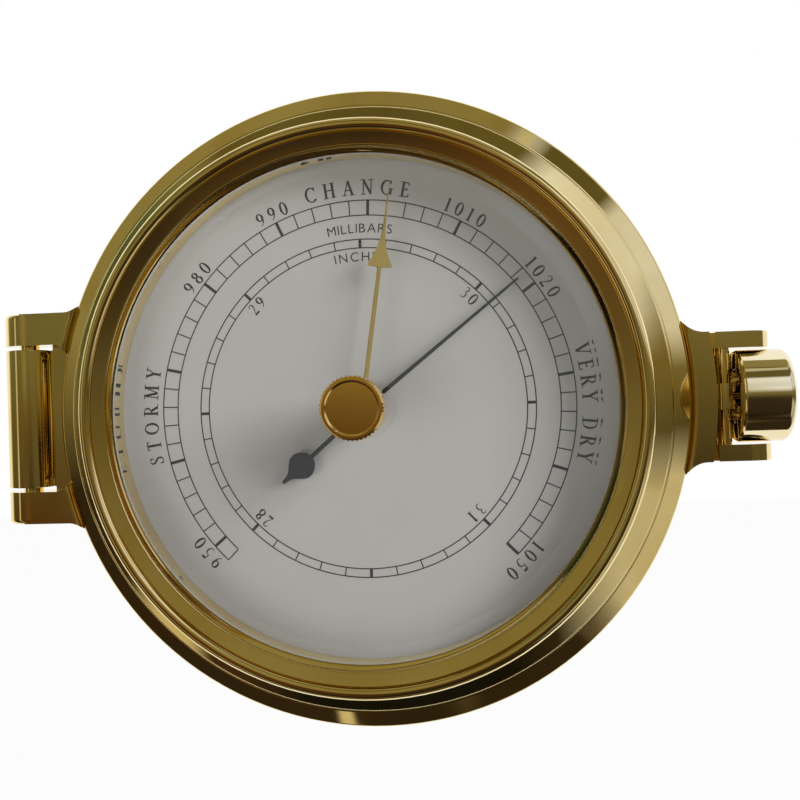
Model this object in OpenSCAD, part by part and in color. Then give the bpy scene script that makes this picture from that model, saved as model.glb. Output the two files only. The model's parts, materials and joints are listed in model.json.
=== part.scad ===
// Porthole barometer: hinged brass bezel with a swing bolt, set hand, dial and aneroid movement.
// The wall is the plane y = 0, the face looks along -Y, and Z is up.
// Every radius grows outward from the glass opening, and the movement hangs from the dial.

/* [Case] */
// Overhang of the bezel flange past the cup
flange_over = 1.4; // [1:0.1:2]
// Wall of the cup
case_wall = 2.1; // [1.8:0.1:2.6]
// Depth of the cup from the wall to its rim
case_depth = 26.7; // [26.2:0.1:30]
// Thickness of the cup's back
case_back = 2.2; // [1.8:0.1:2.6]
// Rounding of the cup's back edge
case_edge = 1.4; // [0.6:0.1:1.6]
// Gap between the rim of the cup and the closed bezel
lid_gap = 0.3; // [0.2:0.05:0.5]

/* [Wall fixing] */
// Distance of the wall screws from the outside of the cup
screw_inset = 6.4; // [6.2:0.1:6.8]
// Radius of a wall screw hole
wall_screw_r = 2.2; // [1.8:0.1:2.4]
// Radius of the countersink for the screw head
wall_head_r = 3.8; // [3.4:0.1:3.9]
// Depth of the countersink
wall_head_depth = 1.2; // [1:0.1:1.4]

/* [Bezel] */
// Radius of the opening that the glass shows through
opening_r = 50.7; // [48:0.1:56]
// Width of the slope from the opening to the crest of the lip
crest_w = 0.7; // [0.4:0.1:1]
// Width of the front band, from the crest to the fine line
band_w = 2.95; // [2.5:0.05:3.4]
// Width of the bead outside the fine line
bead_w = 2.75; // [2.4:0.05:3.1]
// Width of the hollow moulding between bead and flange
cove_w = 4.4; // [4.2:0.1:4.9]
// Width of the flange outside the moulding
flange_w = 4.3; // [3.8:0.1:5]
// Height of the flange at its edge
flange_h = 3.4; // [3:0.1:3.8]
// Height of the flange at the foot of the moulding
flange_foot_h = 5.2; // [4.8:0.1:5.6]
// Height of the bezel, from its back plane to the top of the bead
bezel_h = 15.1; // [14.5:0.1:17]
// Depth of the fine line
line_depth = 0.35; // [0.2:0.05:0.5]
// Drop of the front band from the line to the crest
band_drop = 0.8; // [0.4:0.1:1.2]
// Width of the lip over the glass
lip_w = 2.3; // [1.8:0.1:2.6]
// Thickness of the lip over the glass
lip_t = 1.7; // [1.4:0.1:2.2]
// Step from the glass pocket to the bore at the bezel's back
bore_step = 2.6; // [2.2:0.1:2.9]

/* [Glass] */
// Gap round the glass in its pocket
glass_fit = 0.1; // [0.05:0.05:0.3]
// Thickness of the glass in the middle
glass_t = 3.2; // [2.6:0.1:3.6]
// Width of the bevel that shows inside the lip
bevel_w = 3.3; // [2:0.1:4]
// Drop of the bevel at the lip
bevel_drop = 0.7; // [0.4:0.1:1]
// Thickness of the rubber gasket behind the glass
gasket_t = 0.8; // [0.5:0.1:1.2]
// Width of the gasket
gasket_w = 1.1; // [0.8:0.1:1.6]
// Thickness of the retaining ring
ring_t = 2; // [1.5:0.1:2.4]
// Width of the retaining ring
ring_w = 3.4; // [3:0.1:4.2]
// Width of the two slots that turn the ring
ring_slot_w = 3; // [2:0.1:4]

/* [Hinge] */
// Distance of the hinge pin from the outside of the cup
hinge_reach = 9.9; // [9.4:0.1:11]
// Depth of both pins behind the back plane of the bezel
pin_depth = 0.7; // [0.5:0.1:1]
// Radius of the barrel and the knuckles
knuckle_r = 4.9; // [4.6:0.1:5.3]
// Rounding of the outer ends of the knuckles
knuckle_edge = 0.9; // [0.4:0.1:1.4]
// Half height of the long middle barrel
barrel_half = 14.8; // [13:0.1:16]
// Gap between the barrel and each knuckle
knuckle_gap = 0.9; // [0.3:0.1:1]
// Height of one knuckle
knuckle_h = 6.8; // [6:0.1:9]
// Radius of the hinge pin
hinge_pin_r = 2; // [1.5:0.1:2.5]
// Reach of the arm's flare past the barrel, behind the knuckles
flare_over = 3.4; // [2:0.1:4]
// Radius of the hollow where a knuckle lug meets the flange
lug_fillet = 3.8; // [2:0.1:5]
// Radius of the corners of the pocket round the barrel
pocket_fillet = 2.6; // [1:0.1:3]

/* [Latch] */
// Reach of the tab past the flange
tab_reach = 4.8; // [4:0.1:5.5]
// Thickness of the tab and of the knuckle lugs
lug_h = 3.9; // [3.6:0.1:4.6]
// Half height of the tab
tab_half = 13; // [12:0.1:14]
// Radius of the hollow where the tab meets the flange
tab_fillet = 5; // [3:0.1:6]
// Gap between the eye of the swing bolt and the tab
eye_gap = 0.2; // [0.2:0.1:0.6]
// Radius of the eye of the swing bolt
eye_r = 2.3; // [2:0.1:2.8]
// Half height of the eye
eye_half = 2.6; // [2:0.1:4]
// Radius of the latch pin
latch_pin_r = 1.1; // [0.9:0.1:1.4]
// Radius of the stud
stud_r = 2.1; // [1.8:0.05:2.3]
// Radius of the locking nut
nut_r = 9.3; // [8.5:0.05:9.6]
// Length of the locking nut
nut_l = 10; // [9.5:0.1:12]
// Distance from the latch pin to the nut's inner face
nut_start = 1.7; // [1.4:0.1:2]
// Radius of the counterbore in the nut's inner face
counterbore_r = 5.2; // [4.4:0.1:6]
// Depth of the counterbore
counterbore_depth = 2.2; // [2:0.1:3]
// Thickness of the nut's closed end
nut_wall = 1.4; // [1:0.1:2]
// Rounding of the nut's outer end
nut_edge = 1.5; // [0.5:0.1:2]
// Gap between the nut and each ear
nut_gap = 0.4; // [0.2:0.05:0.6]
// Thickness of one ear of the fork
ear_t = 3.3; // [3:0.1:4]
// Radius of the round end of an ear
ear_r = 5.2; // [4.8:0.1:5.6]
// Reach of the ears past the latch pin
ear_over = 9.1; // [8:0.1:10]
// Height of the ears in front of the bezel's back plane
ear_rise = 2.3; // [1.6:0.1:3]
// Thickness of the fork's step beside the eye
step_w = 1.8; // [1.4:0.1:2.2]

/* [Dial and hands] */
// Gap between the dial and the bore of the bezel
dial_gap = 1.6; // [1.2:0.1:2.2]
// Thickness of the dial plate
dial_t = 1; // [0.8:0.1:1.4]
// Height of the dial's face in front of the bezel's back plane
dial_rise = 2.5; // [2:0.1:3]
// Radius of the hole in the middle of the dial
dial_hole_r = 2.5; // [2:0.1:4]
// Gap between the boss of the pressure hand and the hub of the set hand
hands_gap = 1.6; // [1:0.1:2]
// Thickness of either hand
hand_t = 0.4; // [0.3:0.05:0.6]
// Distance of the pressure hand's tip from the edge of the opening
hand_short = 9.9; // [8:0.1:14]
// Width of the pressure hand at its boss
hand_w = 0.95; // [0.6:0.05:1.4]
// Width of the pressure hand at its tip
hand_tip_w = 0.5; // [0.3:0.05:0.8]
// Distance of the counterweight's round from the middle
weight_x = 17.2; // [14:0.1:20]
// Radius of the counterweight's round
weight_r = 2.8; // [2:0.1:3.5]
// Reach of the counterweight's point past the middle of its round
tail_l = 5.6; // [4:0.1:8]
// Angle of the pressure hand from straight up, clockwise
hand_angle = 51.9; // [45:0.1:60]
// Angle by which the hand's tail is bent
tail_bend = 2.5; // [0:0.1:4]
// Angle of the set hand from straight up, clockwise
set_angle = 8.7; // [0:0.1:20]
// Distance of the set hand's tip from the edge of the opening
set_short = 5; // [4:0.1:9]
// Length of the arrow with its needle point
point_l = 17.1; // [14:0.1:20]
// Length over which the arrow's sides draw in
arrow_l = 8.9; // [7:0.1:11]
// Half width of the arrow's base
arrow_half = 2.55; // [1.8:0.05:3.2]
// Width of the set hand's shaft
set_w = 1; // [0.6:0.05:1.4]

/* [Set knob] */
// Radius of the knurled head
knob_r = 6.25; // [5.5:0.05:7]
// Height of the knurled head
knob_h = 5.6; // [4:0.1:7]
// Step from the knurled head in to its neck
knob_neck_step = 1.95; // [1.4:0.05:2.4]
// Height of the neck
knob_neck_h = 3; // [2:0.1:4]
// Number of grooves round the head
knurl_n = 44; // [30:1:60]
// Depth of a groove
knurl_depth = 0.32; // [0.2:0.02:0.5]
// Width of the rim round the dished polished face
knob_rim = 1.05; // [0.8:0.05:1.6]
// Depth of the dish
knob_dish = 0.35; // [0.1:0.05:0.6]
// Radius of the spindle
spindle_r = 1.2; // [1:0.05:1.4]
// Wall of the bush through the glass
bush_wall = 1.65; // [1.2:0.05:2]
// Step from the bush out to its flange and to its nut
bush_flange_w = 1.7; // [1.2:0.1:2.2]
// Height of the bush's flange in front of the glass
bush_flange_h = 0.8; // [0.6:0.1:1]
// Thickness of the nut behind the glass
bush_nut_t = 1; // [0.8:0.1:1.1]

/* [Movement] */
// Step from the dial's edge in to the drum that carries it
drum_inset = 0.6; // [0.3:0.1:1]
// Wall of the drum
drum_wall = 1; // [0.8:0.1:1.4]
// Thickness of the base plate
base_t = 1.6; // [1.4:0.1:1.8]
// Step from the drum's outside in to the base plate
base_margin = 5.4; // [4:0.1:6]
// Distance of the housing screws from the base plate's edge
housing_screw_inset = 4; // [3.4:0.1:5]
// Gap under the capsule bed
bed_gap = 0.8; // [0.6:0.1:1]
// Thickness of the capsule bed
bed_t = 1; // [0.8:0.1:1.2]
// Half width of the capsule bed
bed_w = 7; // [6:0.1:7.5]
// Reach of the bed past its two screws
bed_over = 4; // [3:0.1:5]
// Distance of the adjusting screw from the edge of the capsule
adjuster_clear = 5; // [4:0.1:6]
// Radius of the aneroid capsule
capsule_r = 23; // [20:0.1:26]
// Number of rings pressed into each side of the capsule
capsule_rings = 3; // [2:1:4]
// Height of a pressed ring
capsule_wave = 0.6; // [0.3:0.05:0.7]
// Distance of the pillars from the edge of the capsule
pillar_clear = 8; // [7:0.1:9]
// Radius of a pillar
pillar_r = 2.5; // [2:0.1:2.8]
// Margin of both movement plates outside the pillars
plate_margin = 5; // [4:0.1:6]
// Thickness of either movement plate
plate_t = 1.2; // [1:0.1:1.4]
// Space between the two movement plates
plate_space = 5.8; // [5.6:0.1:6]
// Height of the posts between the upper plate and the dial
dial_post_h = 1.7; // [1.4:0.1:2.4]
// Radius of the pointer arbor
arbor_r = 0.8; // [0.6:0.05:0.9]
// Number of teeth on the pinion
pinion_n = 8; // [8:1:8]
// Number of teeth on the sector's full circle
sector_n = 80; // [80:1:80]
// Module of the teeth
tooth_m = 0.4; // [0.38:0.01:0.42]
// Distance of the sector's link pin from its arbor
tail_r = 2.5; // [2.4:0.05:2.7]
// Height of the rocking shaft above the capsule
shaft_rise = 2.4; // [2.3:0.1:2.6]
// Drop of the rocking shaft below the lower plate
shaft_drop = 3.2; // [3:0.1:3.6]
// Distance of the rocking shaft from the capsule's middle
short_arm = 3; // [2.8:0.1:3.2]
// Radius of the rocking shaft
shaft_r = 1; // [0.9:0.05:1.1]
// Distance of either shaft bracket from the middle
bracket_x = 12; // [11:0.1:14]
// Thickness of a shaft bracket
bracket_t = 1.8; // [1.4:0.1:2.2]
// Thickness of the levers
lever_t = 1.2; // [1:0.1:1.4]
// Number of turns of the hairspring
hairspring_turns = 4; // [3:1:5]
// Radius of the shank of the adjusting screw
adjuster_r = 1.5; // [1.2:0.1:1.7]

/* [Fits] */
// Radial clearance of a pin or shaft that turns
run_fit = 0.05; // [0.02:0.01:0.08]
// Gap between faces that pass each other
pass_gap = 0.3; // [0.2:0.05:0.4]

/* [Hidden] */
$fn = 96;
BRASS = [0.72, 0.6, 0.26];
DARK_BRASS = [0.5, 0.4, 0.2];
STEEL = [0.62, 0.63, 0.65];
BLUED = [0.08, 0.09, 0.12];
WHITE = [0.9, 0.9, 0.88];
RUBBER = [0.1, 0.1, 0.1];
CLEAR = [0.8, 0.9, 0.92, 0.35];
arc_steps = 8;
thin_cut = 0.5;

// Radii, from the opening outward
crest_r = opening_r + crest_w;
line_r = crest_r + band_w;
bead_r = line_r + bead_w;
foot_r = bead_r + cove_w;
flange_r = foot_r + flange_w;
case_r = flange_r - flange_over;
wall_screw_pcd = 2 * (case_r - screw_inset);
pocket_r = opening_r + lip_w;
glass_r = pocket_r - glass_fit;
gasket_in_r = pocket_r - gasket_w;
bore_r = pocket_r + bore_step;
ring_in_r = bore_r - ring_w;
dial_r = bore_r - dial_gap;
drum_r = dial_r - drum_inset;
base_r = drum_r - base_margin;
housing_screw_at = base_r - housing_screw_inset;
hand_l = opening_r - hand_short;
weight_end = weight_x + tail_l;
set_l = opening_r - set_short;
arrow_x = set_l - point_l;
arrow_neck = arrow_x + arrow_l;
knob_neck_r = knob_r - knob_neck_step;
knob_face_r = knob_r - knob_rim;
bush_r = spindle_r + bush_wall + run_fit;
bush_flange_r = bush_r + bush_flange_w;

// Depths are measured from the wall, growing toward the viewer
bezel_back = case_depth + lid_gap;
bezel_front = bezel_back + bezel_h;
lug_front = bezel_back + lug_h;
crest_top = bezel_front - line_depth / 2 - band_drop;
glass_seat = crest_top - lip_t;
glass_front = glass_seat + bevel_drop;
glass_back = glass_front - glass_t;
gasket_back = glass_back - gasket_t;
ring_back = gasket_back - ring_t;
pin_level = bezel_back - pin_depth;
dial_face = bezel_back + dial_rise;
dial_back = dial_face - dial_t;
bush_back = glass_back - bush_nut_t;
set_level = bush_back - pass_gap - hand_t;
hub_r = 3;
hub_drop = 0.6;
boss_h = 1.1;
boss_r = 2.2;
hand_level = set_level - hub_drop - hands_gap - boss_h;
bush_front = glass_front + bush_flange_h;
washer_h = 0.7;
knob_bottom = bush_front + washer_h;
knob_neck_top = knob_bottom + knob_neck_h;
knob_top = knob_neck_top + knob_h;
knob_bore = 2.5;

// The capsule stands on the floor of the cup, and the plates hang from the dial
drum_floor = case_back + drum_wall;
base_top = drum_floor + base_t;
bed_level = base_top + bed_gap;
capsule_level = bed_level + bed_t;
upper_plate_top = dial_back - dial_post_h;
upper_plate_at = upper_plate_top - plate_t;
lower_plate_top = upper_plate_at - plate_space;
lower_plate_at = lower_plate_top - plate_t;
pillar_h = lower_plate_at - base_top;
shaft_level = lower_plate_at - shaft_drop;
capsule_top = shaft_level - shaft_rise;
capsule_h = capsule_top - capsule_level;
pillar_at = capsule_r + pillar_clear;
plate_r = pillar_at + plate_margin;
adjuster_x = capsule_r + adjuster_clear;
bed_half = adjuster_x + bed_over;
pinion_pitch = tooth_m * pinion_n / 2;
sector_pitch = tooth_m * sector_n / 2;
sector_at = pinion_pitch + sector_pitch;
sector_t = 1;
sector_level = upper_plate_at - 3.6;
pinion_overlap = 0.5;
link_t = 0.6;
link_level = sector_level - pass_gap - link_t;
link_pin_r = 0.5;
link_eye_r = 1.15;
hub_over = 1.1;
rim_t = 1.4;
lever_boss = 0.9;
post_r = 0.8;
post_foot_r = 1.5;
bracket_half = 3;
bracket_drop = 2;
window_gap = 0.6;
hairspring_level = upper_plate_at - 1.6;
hairspring_h = 0.6;
collet_r = 1.6;
spiral_pitch = 1.3;
strip_t = 0.22;
pivot_r = 0.6;
pivot_sink = 1;
plate_screw_r = 1;
plate_screw_head_r = 2.2;
plate_screw_head_h = 0.9;
plate_screw_grip = 4.5;
third = 120;
dial_post_r = 1.6;
housing_screw_r = 1.5;
housing_screw_head_r = 2.8;
housing_screw_head_h = 1.7;
adjuster_head = 1;
adjuster_way = 0.7;

// Places of hinge and latch
hinge_x = case_r + hinge_reach;
lug_edge = 1.2;
tab_x = flange_r + tab_reach;
latch_x = tab_x + eye_gap + eye_r;
ear_end = latch_x + ear_over;
slot_half = nut_r + nut_gap;
fork_half = slot_half + ear_t;
ear_front = bezel_back + ear_rise;
ear_level = ear_front - ear_r;
stud_l = nut_start + nut_l - nut_wall - pass_gap;

// A point on a circle, with its angle counted clockwise from straight up
function clock(r, a) = [r * sin(a), r * cos(a)];

// Points of an arc of radius r round c, from angle a to angle b
function arc(c, r, a, b, n = arc_steps) =
    [for (i = [0:n]) c + r * [cos(a + (b - a) * i / n), sin(a + (b - a) * i / n)]];

// Turns a piece that was drawn face up so that its face looks at the viewer
module face_on() {
    rotate([90, 0, 0])
        children();
}

// An upright round bar, drawn face up: x and depth of its axis, then its two ends
module upright_bar(x, depth, low, high, r) {
    translate([x, low, depth])
        rotate([-90, 0, 0])
            cylinder(h = high - low, r = r);
}

// A round bar along X, drawn face up
module level_bar(y, depth, from, to, r) {
    translate([from, y, depth])
        rotate([0, 90, 0])
            cylinder(h = to - from, r = r);
}

// A profile in X and depth, drawn as a plate of the given half height
module upright_plate(half) {
    translate([0, half, 0])
        rotate([90, 0, 0])
            linear_extrude(2 * half)
                children();
}

// A flat disc or ring between two depths
module disc(r, from, to, hole = 0) {
    translate([0, 0, from])
        difference() {
            cylinder(h = to - from, r = r);
            if (hole > 0)
                translate([0, 0, -thin_cut])
                    cylinder(h = to - from + 2 * thin_cut, r = hole);
        }
}

// Places its children at three points round the middle
module three_places(r, first) {
    for (i = [0:2])
        translate(concat(clock(r, first + third * i), 0))
            children();
}

// The cup of the case, with its wall screw holes
module case_body() {
    color(BRASS) face_on() difference() {
        rotate_extrude($fn = 180)
            polygon(concat(
                [[0, 0]],
                arc([case_r - case_edge, case_edge], case_edge, -90, 0),
                [[case_r, case_depth - 0.5], [case_r - 0.5, case_depth],
                 [case_r - case_wall, case_depth], [case_r - case_wall, case_back], [0, case_back]]));
        three_places(wall_screw_pcd / 2, 0) {
            translate([0, 0, -thin_cut])
                cylinder(h = case_back + 2 * thin_cut, r = wall_screw_r);
            translate([0, 0, case_back - wall_head_depth])
                cylinder(h = wall_head_depth, r1 = wall_screw_r, r2 = wall_head_r);
            translate([0, 0, case_back])
                cylinder(h = thin_cut, r = wall_head_r);
        }
        three_places(housing_screw_at, 30)
            translate([0, 0, thin_cut])
                cylinder(h = case_back, r = housing_screw_r);
        translate([adjuster_x, 0, -thin_cut])
            cylinder(h = case_back + 2 * thin_cut, r = adjuster_r + adjuster_head + adjuster_way);
    }
}

// The long middle barrel of the hinge and its arm on the cup, which flares behind the knuckles
module hinge_arm() {
    arm_bottom = pin_level - knuckle_r;
    arm_top = case_depth - 0.1;
    root = -case_r + 4;
    flare_x = -hinge_x + knuckle_r + pass_gap;
    color(BRASS) face_on() difference() {
        union() {
            upright_bar(-hinge_x, pin_level, -barrel_half, barrel_half, knuckle_r);
            upright_plate(barrel_half)
                polygon([[-hinge_x, arm_bottom], [-hinge_x, arm_top], [root, arm_top],
                         [root, arm_bottom - 5], [-hinge_x + 6, arm_bottom]]);
            upright_plate(barrel_half + flare_over)
                polygon([[flare_x, arm_bottom + 1], [flare_x, arm_top], [root, arm_top],
                         [root, arm_bottom - 5], [-hinge_x + 6, arm_bottom]]);
        }
        translate([0, 0, -thin_cut])
            cylinder(h = case_depth + 1, r = case_r, $fn = 180);
        upright_bar(-hinge_x, pin_level, -barrel_half - 1, barrel_half + 1, hinge_pin_r);
    }
}

// The hinge pin, flush with the outer ends of the knuckles
module hinge_pin() {
    reach = barrel_half + knuckle_gap + knuckle_h;
    color(STEEL) face_on()
        upright_bar(-hinge_x, pin_level, -reach, reach, hinge_pin_r);
}

// The fork whose two ears carry the latch pin; a step beside the eye closes it toward the cup
module latch_fork() {
    root = case_r - 4;
    step_x = tab_x + pass_gap;
    ear_x = ear_end - ear_r;
    back = ear_level - ear_r;
    under_tab = case_depth - 0.1;
    web_x = tab_x - 0.8;
    web_front = pin_level - eye_r - pass_gap - 0.05;
    web_back = back + 1;
    web_end = latch_x + nut_start - pass_gap;
    color(BRASS) face_on() difference() {
        upright_plate(fork_half)
            polygon(concat(
                [[root, back - 7], [root, under_tab], [step_x, under_tab], [step_x, ear_front]],
                arc([ear_x, ear_level], ear_r, 90, -90, 24), [[root + 8, back]]));
        upright_plate(slot_half)
            polygon([[web_x, bezel_front], [web_x, web_front], [step_x + step_w, web_front],
                     [step_x + step_w, web_back], [web_end, web_back], [web_end, -thin_cut],
                     [ear_end + 1, -thin_cut], [ear_end + 1, bezel_front]]);
        translate([0, 0, -thin_cut])
            cylinder(h = case_depth + 1, r = case_r, $fn = 180);
        upright_bar(latch_x, pin_level, -fork_half - 1, fork_half + 1, latch_pin_r);
    }
}

// The latch pin, flush with the ears
module latch_pin() {
    color(BRASS) face_on()
        upright_bar(latch_x, pin_level, -fork_half, fork_half, latch_pin_r);
}

// The spun drum that houses the movement and carries the dial on its rim
module movement_drum() {
    color(STEEL) face_on() difference() {
        disc(drum_r, case_back, dial_back, $fn = 180);
        translate([0, 0, drum_floor])
            cylinder(h = dial_back, r = drum_r - drum_wall, $fn = 180);
        three_places(housing_screw_at, 30)
            cylinder(h = dial_back, r = housing_screw_r);
        translate([adjuster_x, 0, 0])
            cylinder(h = dial_back, r = adjuster_r + adjuster_head + adjuster_way);
    }
}

// Three screws that hold the base plate and the drum on the cup
module drum_screws() {
    color(STEEL) face_on() three_places(housing_screw_at, 30) {
        translate([0, 0, thin_cut])
            cylinder(h = base_top - thin_cut, r = housing_screw_r, $fn = 32);
        difference() {
            translate([0, 0, base_top])
                cylinder(h = housing_screw_head_h, r = housing_screw_head_r, $fn = 32);
            translate([-0.4, -housing_screw_head_r, base_top + housing_screw_head_h - 0.7])
                cube([0.8, 2 * housing_screw_head_r, 1]);
        }
    }
}

// The dial plate, which rests on the drum's rim
module dial_plate() {
    color(WHITE) face_on()
        disc(dial_r, dial_back, dial_face, dial_hole_r, $fn = 180);
}

// The base plate of the movement
module base_plate() {
    color(DARK_BRASS) face_on() difference() {
        disc(base_r, drum_floor, base_top);
        three_places(housing_screw_at, 30)
            cylinder(h = dial_back, r = housing_screw_r);
        translate([adjuster_x, 0, 0])
            cylinder(h = dial_back, r = adjuster_r + run_fit);
        translate([-adjuster_x, 0, 0])
            cylinder(h = dial_back, r = plate_screw_r);
    }
}

// The springy bed that carries the capsule: one end is screwed down, the other rests on the adjuster
module capsule_bed() {
    foot = 5;
    color(STEEL) face_on() difference() {
        union() {
            translate([-bed_half, -bed_w, bed_level])
                cube([2 * bed_half, 2 * bed_w, bed_t]);
            translate([-bed_half, -bed_w, base_top])
                cube([2 * foot - 1, 2 * bed_w, bed_gap]);
        }
        translate([-adjuster_x, 0, 0])
            cylinder(h = dial_back, r = plate_screw_r);
    }
}

// The screw that holds the foot of the bed
module bed_screw() {
    bed_top = bed_level + bed_t;
    color(STEEL) face_on() translate([-adjuster_x, 0, 0]) {
        translate([0, 0, drum_floor + 0.2])
            cylinder(h = bed_top - drum_floor - 0.2, r = plate_screw_r, $fn = 32);
        translate([0, 0, bed_top])
            cylinder(h = plate_screw_head_h, r = plate_screw_head_r, $fn = 32);
    }
}

// The adjusting screw, reached through the back, whose tip lies under the bed
module adjusting_screw() {
    head_top = case_back - 0.2;
    color(STEEL) face_on() translate([adjuster_x, 0, 0]) {
        translate([0, 0, head_top])
            cylinder(h = bed_level - 0.1 - head_top, r = adjuster_r);
        difference() {
            translate([0, 0, 0.5])
                cylinder(h = head_top - 0.5, r = adjuster_r + adjuster_head);
            translate([-0.4, -adjuster_r - adjuster_head, 0])
                cube([0.8, 2 * (adjuster_r + adjuster_head), 1.2]);
        }
    }
}

// Three pillars from the base plate to the lower plate
module pillars() {
    color(BRASS) face_on() three_places(pillar_at, 0)
        translate([0, 0, base_top])
            difference() {
                cylinder(h = pillar_h, r = pillar_r);
                translate([0, 0, pillar_h - plate_screw_grip - 0.5])
                    cylinder(h = plate_screw_grip + 1, r = plate_screw_r);
            }
}

// A movement plate with its screw holes and three windows
module movement_plate(from, windows) {
    difference() {
        disc(plate_r, from, from + plate_t);
        three_places(pillar_at, 0)
            cylinder(h = dial_back, r = plate_screw_r);
        for (a = windows)
            translate(concat(clock(plate_r * 0.53, a), 0))
                cylinder(h = dial_back, r = plate_r * 0.21);
    }
}

// The lower movement plate, with a window for the long lever
module lower_plate() {
    window = tail_r - lever_t / 2 - window_gap;
    color(BRASS) face_on() difference() {
        movement_plate(lower_plate_at, [60, 300]);
        cylinder(h = dial_back, r = pivot_r + run_fit);
        translate([0, -sector_at, 0])
            cylinder(h = dial_back, r = pivot_r + run_fit);
        translate([window, -short_arm - 2.6, 0])
            cube([lever_t + 2 * window_gap, 5, dial_back]);
    }
}

// Three tubes that keep the two plates apart
module spacers() {
    color(BRASS) face_on() three_places(pillar_at, 0)
        disc(pillar_r, lower_plate_top, upper_plate_at, plate_screw_r, $fn = 48);
}

// The upper movement plate
module upper_plate() {
    color(BRASS) face_on() difference() {
        movement_plate(upper_plate_at, [60, 300, 130, 230]);
        cylinder(h = dial_back, r = arbor_r + run_fit);
        translate([0, -sector_at, 0])
            cylinder(h = dial_back, r = pivot_r + run_fit);
    }
}

// Three long screws through both plates and the spacers into the pillars
module plate_screws() {
    tip = lower_plate_at - plate_screw_grip;
    color(STEEL) face_on() three_places(pillar_at, 0) {
        translate([0, 0, tip])
            cylinder(h = upper_plate_top - tip, r = plate_screw_r, $fn = 32);
        difference() {
            translate([0, 0, upper_plate_top])
                cylinder(h = plate_screw_head_h, r = plate_screw_head_r, $fn = 32);
            translate([-0.3, -plate_screw_head_r, upper_plate_top + 0.4])
                cube([0.6, 2 * plate_screw_head_r, 1]);
        }
    }
}

// Three posts between the upper plate and the back of the dial
module dial_posts() {
    color(BRASS) face_on() three_places(pillar_at, 60)
        translate([0, 0, upper_plate_top])
            cylinder(h = dial_back - upper_plate_top, r = dial_post_r);
}

// The two brackets under the lower plate that the rocking shaft turns in
module shaft_brackets() {
    bottom = shaft_level - bracket_drop;
    color(BRASS) face_on() difference() {
        for (x = [-bracket_x - bracket_t, bracket_x])
            translate([x, -short_arm - bracket_half, bottom])
                cube([bracket_t, 2 * bracket_half, lower_plate_at - bottom]);
        level_bar(-short_arm, shaft_level, -bracket_x - 3, bracket_x + 3, shaft_r + run_fit);
    }
}

// The sealed capsule, with rings pressed into both sides
module aneroid_capsule() {
    mid = capsule_h / 2;
    flat = 4;
    rim = 1;
    steps = capsule_rings * 12;
    run = capsule_r - rim - flat;
    face = [for (i = [0:steps]) [flat + run * i / steps,
            mid - 0.4 - capsule_wave * (1 - cos(360 * capsule_rings * i / steps)) / 2]];
    color(STEEL) face_on() translate([0, 0, capsule_level + mid])
        rotate_extrude($fn = 96)
            polygon(concat(
                [[0, mid], [flat - 0.5, mid]], face, [[capsule_r, 0.4], [capsule_r, -0.4]],
                [for (i = [steps:-1:0]) [face[i][0], -face[i][1]]], [[flat - 0.5, -mid], [0, -mid]]));
}

// The post on the capsule's moving middle, which pushes the short lever
module capsule_post() {
    color(BRASS) face_on() translate([0, 0, capsule_top]) {
        cylinder(h = 0.5, r = post_foot_r);
        cylinder(h = shaft_rise - pass_gap - 0.3, r = post_r);
    }
}

// The rocking shaft
module rocking_shaft() {
    color(STEEL) face_on()
        level_bar(-short_arm, shaft_level, -bracket_x - bracket_t, bracket_x + bracket_t, shaft_r);
}

// The short lever, clamped on the rocking shaft, which rests on the capsule post
module short_lever() {
    color(BRASS) face_on() difference() {
        union() {
            level_bar(-short_arm, shaft_level, -lever_t, lever_t, shaft_r + lever_boss);
            translate([-lever_t, -short_arm, shaft_level - 0.3])
                cube([2 * lever_t, short_arm + lever_t, 1.1]);
        }
        level_bar(-short_arm, shaft_level, -2 * lever_t, 2 * lever_t, shaft_r);
    }
}

// The long lever, which reaches up through the lower plate to the link
module long_lever() {
    half = lever_t / 2;
    top = link_level - shaft_level - 0.2;
    color(BRASS) face_on() difference() {
        union() {
            level_bar(-short_arm, shaft_level, tail_r - half, tail_r + half, shaft_r + lever_boss);
            translate([tail_r - half, -short_arm - 0.8, shaft_level])
                cube([lever_t, 1.6, top]);
            translate([tail_r, -short_arm, shaft_level + top - 0.3])
                cylinder(h = link_t + 0.5, r = link_pin_r - 0.05, $fn = 24);
        }
        level_bar(-short_arm, shaft_level, tail_r - lever_t, tail_r + lever_t, shaft_r);
    }
}

// The link from the long lever to the sector's tail
module sector_link() {
    color(STEEL) face_on() translate([tail_r, 0, link_level]) difference() {
        union() {
            for (y = [-short_arm, -sector_at])
                translate([0, y, 0])
                    cylinder(h = link_t, r = link_eye_r, $fn = 32);
            translate([-0.4, -sector_at, 0])
                cube([0.8, sector_at - short_arm, link_t]);
        }
        for (y = [-short_arm, -sector_at])
            translate([0, y, -thin_cut])
                cylinder(h = link_t + 2 * thin_cut, r = link_pin_r + 0.2, $fn = 24);
    }
}

// The arbor that the sector turns on
module sector_arbor() {
    color(STEEL) face_on() translate([0, -sector_at, 0]) {
        translate([0, 0, lower_plate_top + 0.1])
            cylinder(h = plate_space - 0.2, r = arbor_r, $fn = 32);
        translate([0, 0, lower_plate_top - pivot_sink])
            cylinder(h = plate_space + 2 * pivot_sink, r = pivot_r, $fn = 32);
    }
}

// One tooth, as points either side of the angle a: root, pitch and tip half widths
function tooth(a, root, pitch, tip, half_root, half_pitch, half_tip) = [
    for (p = [[root, -half_root], [pitch, -half_pitch], [tip, -half_tip],
              [tip, half_tip], [pitch, half_pitch], [root, half_root]])
        clock(p[0], a + p[1] / p[0] * 180 / PI)];

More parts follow.
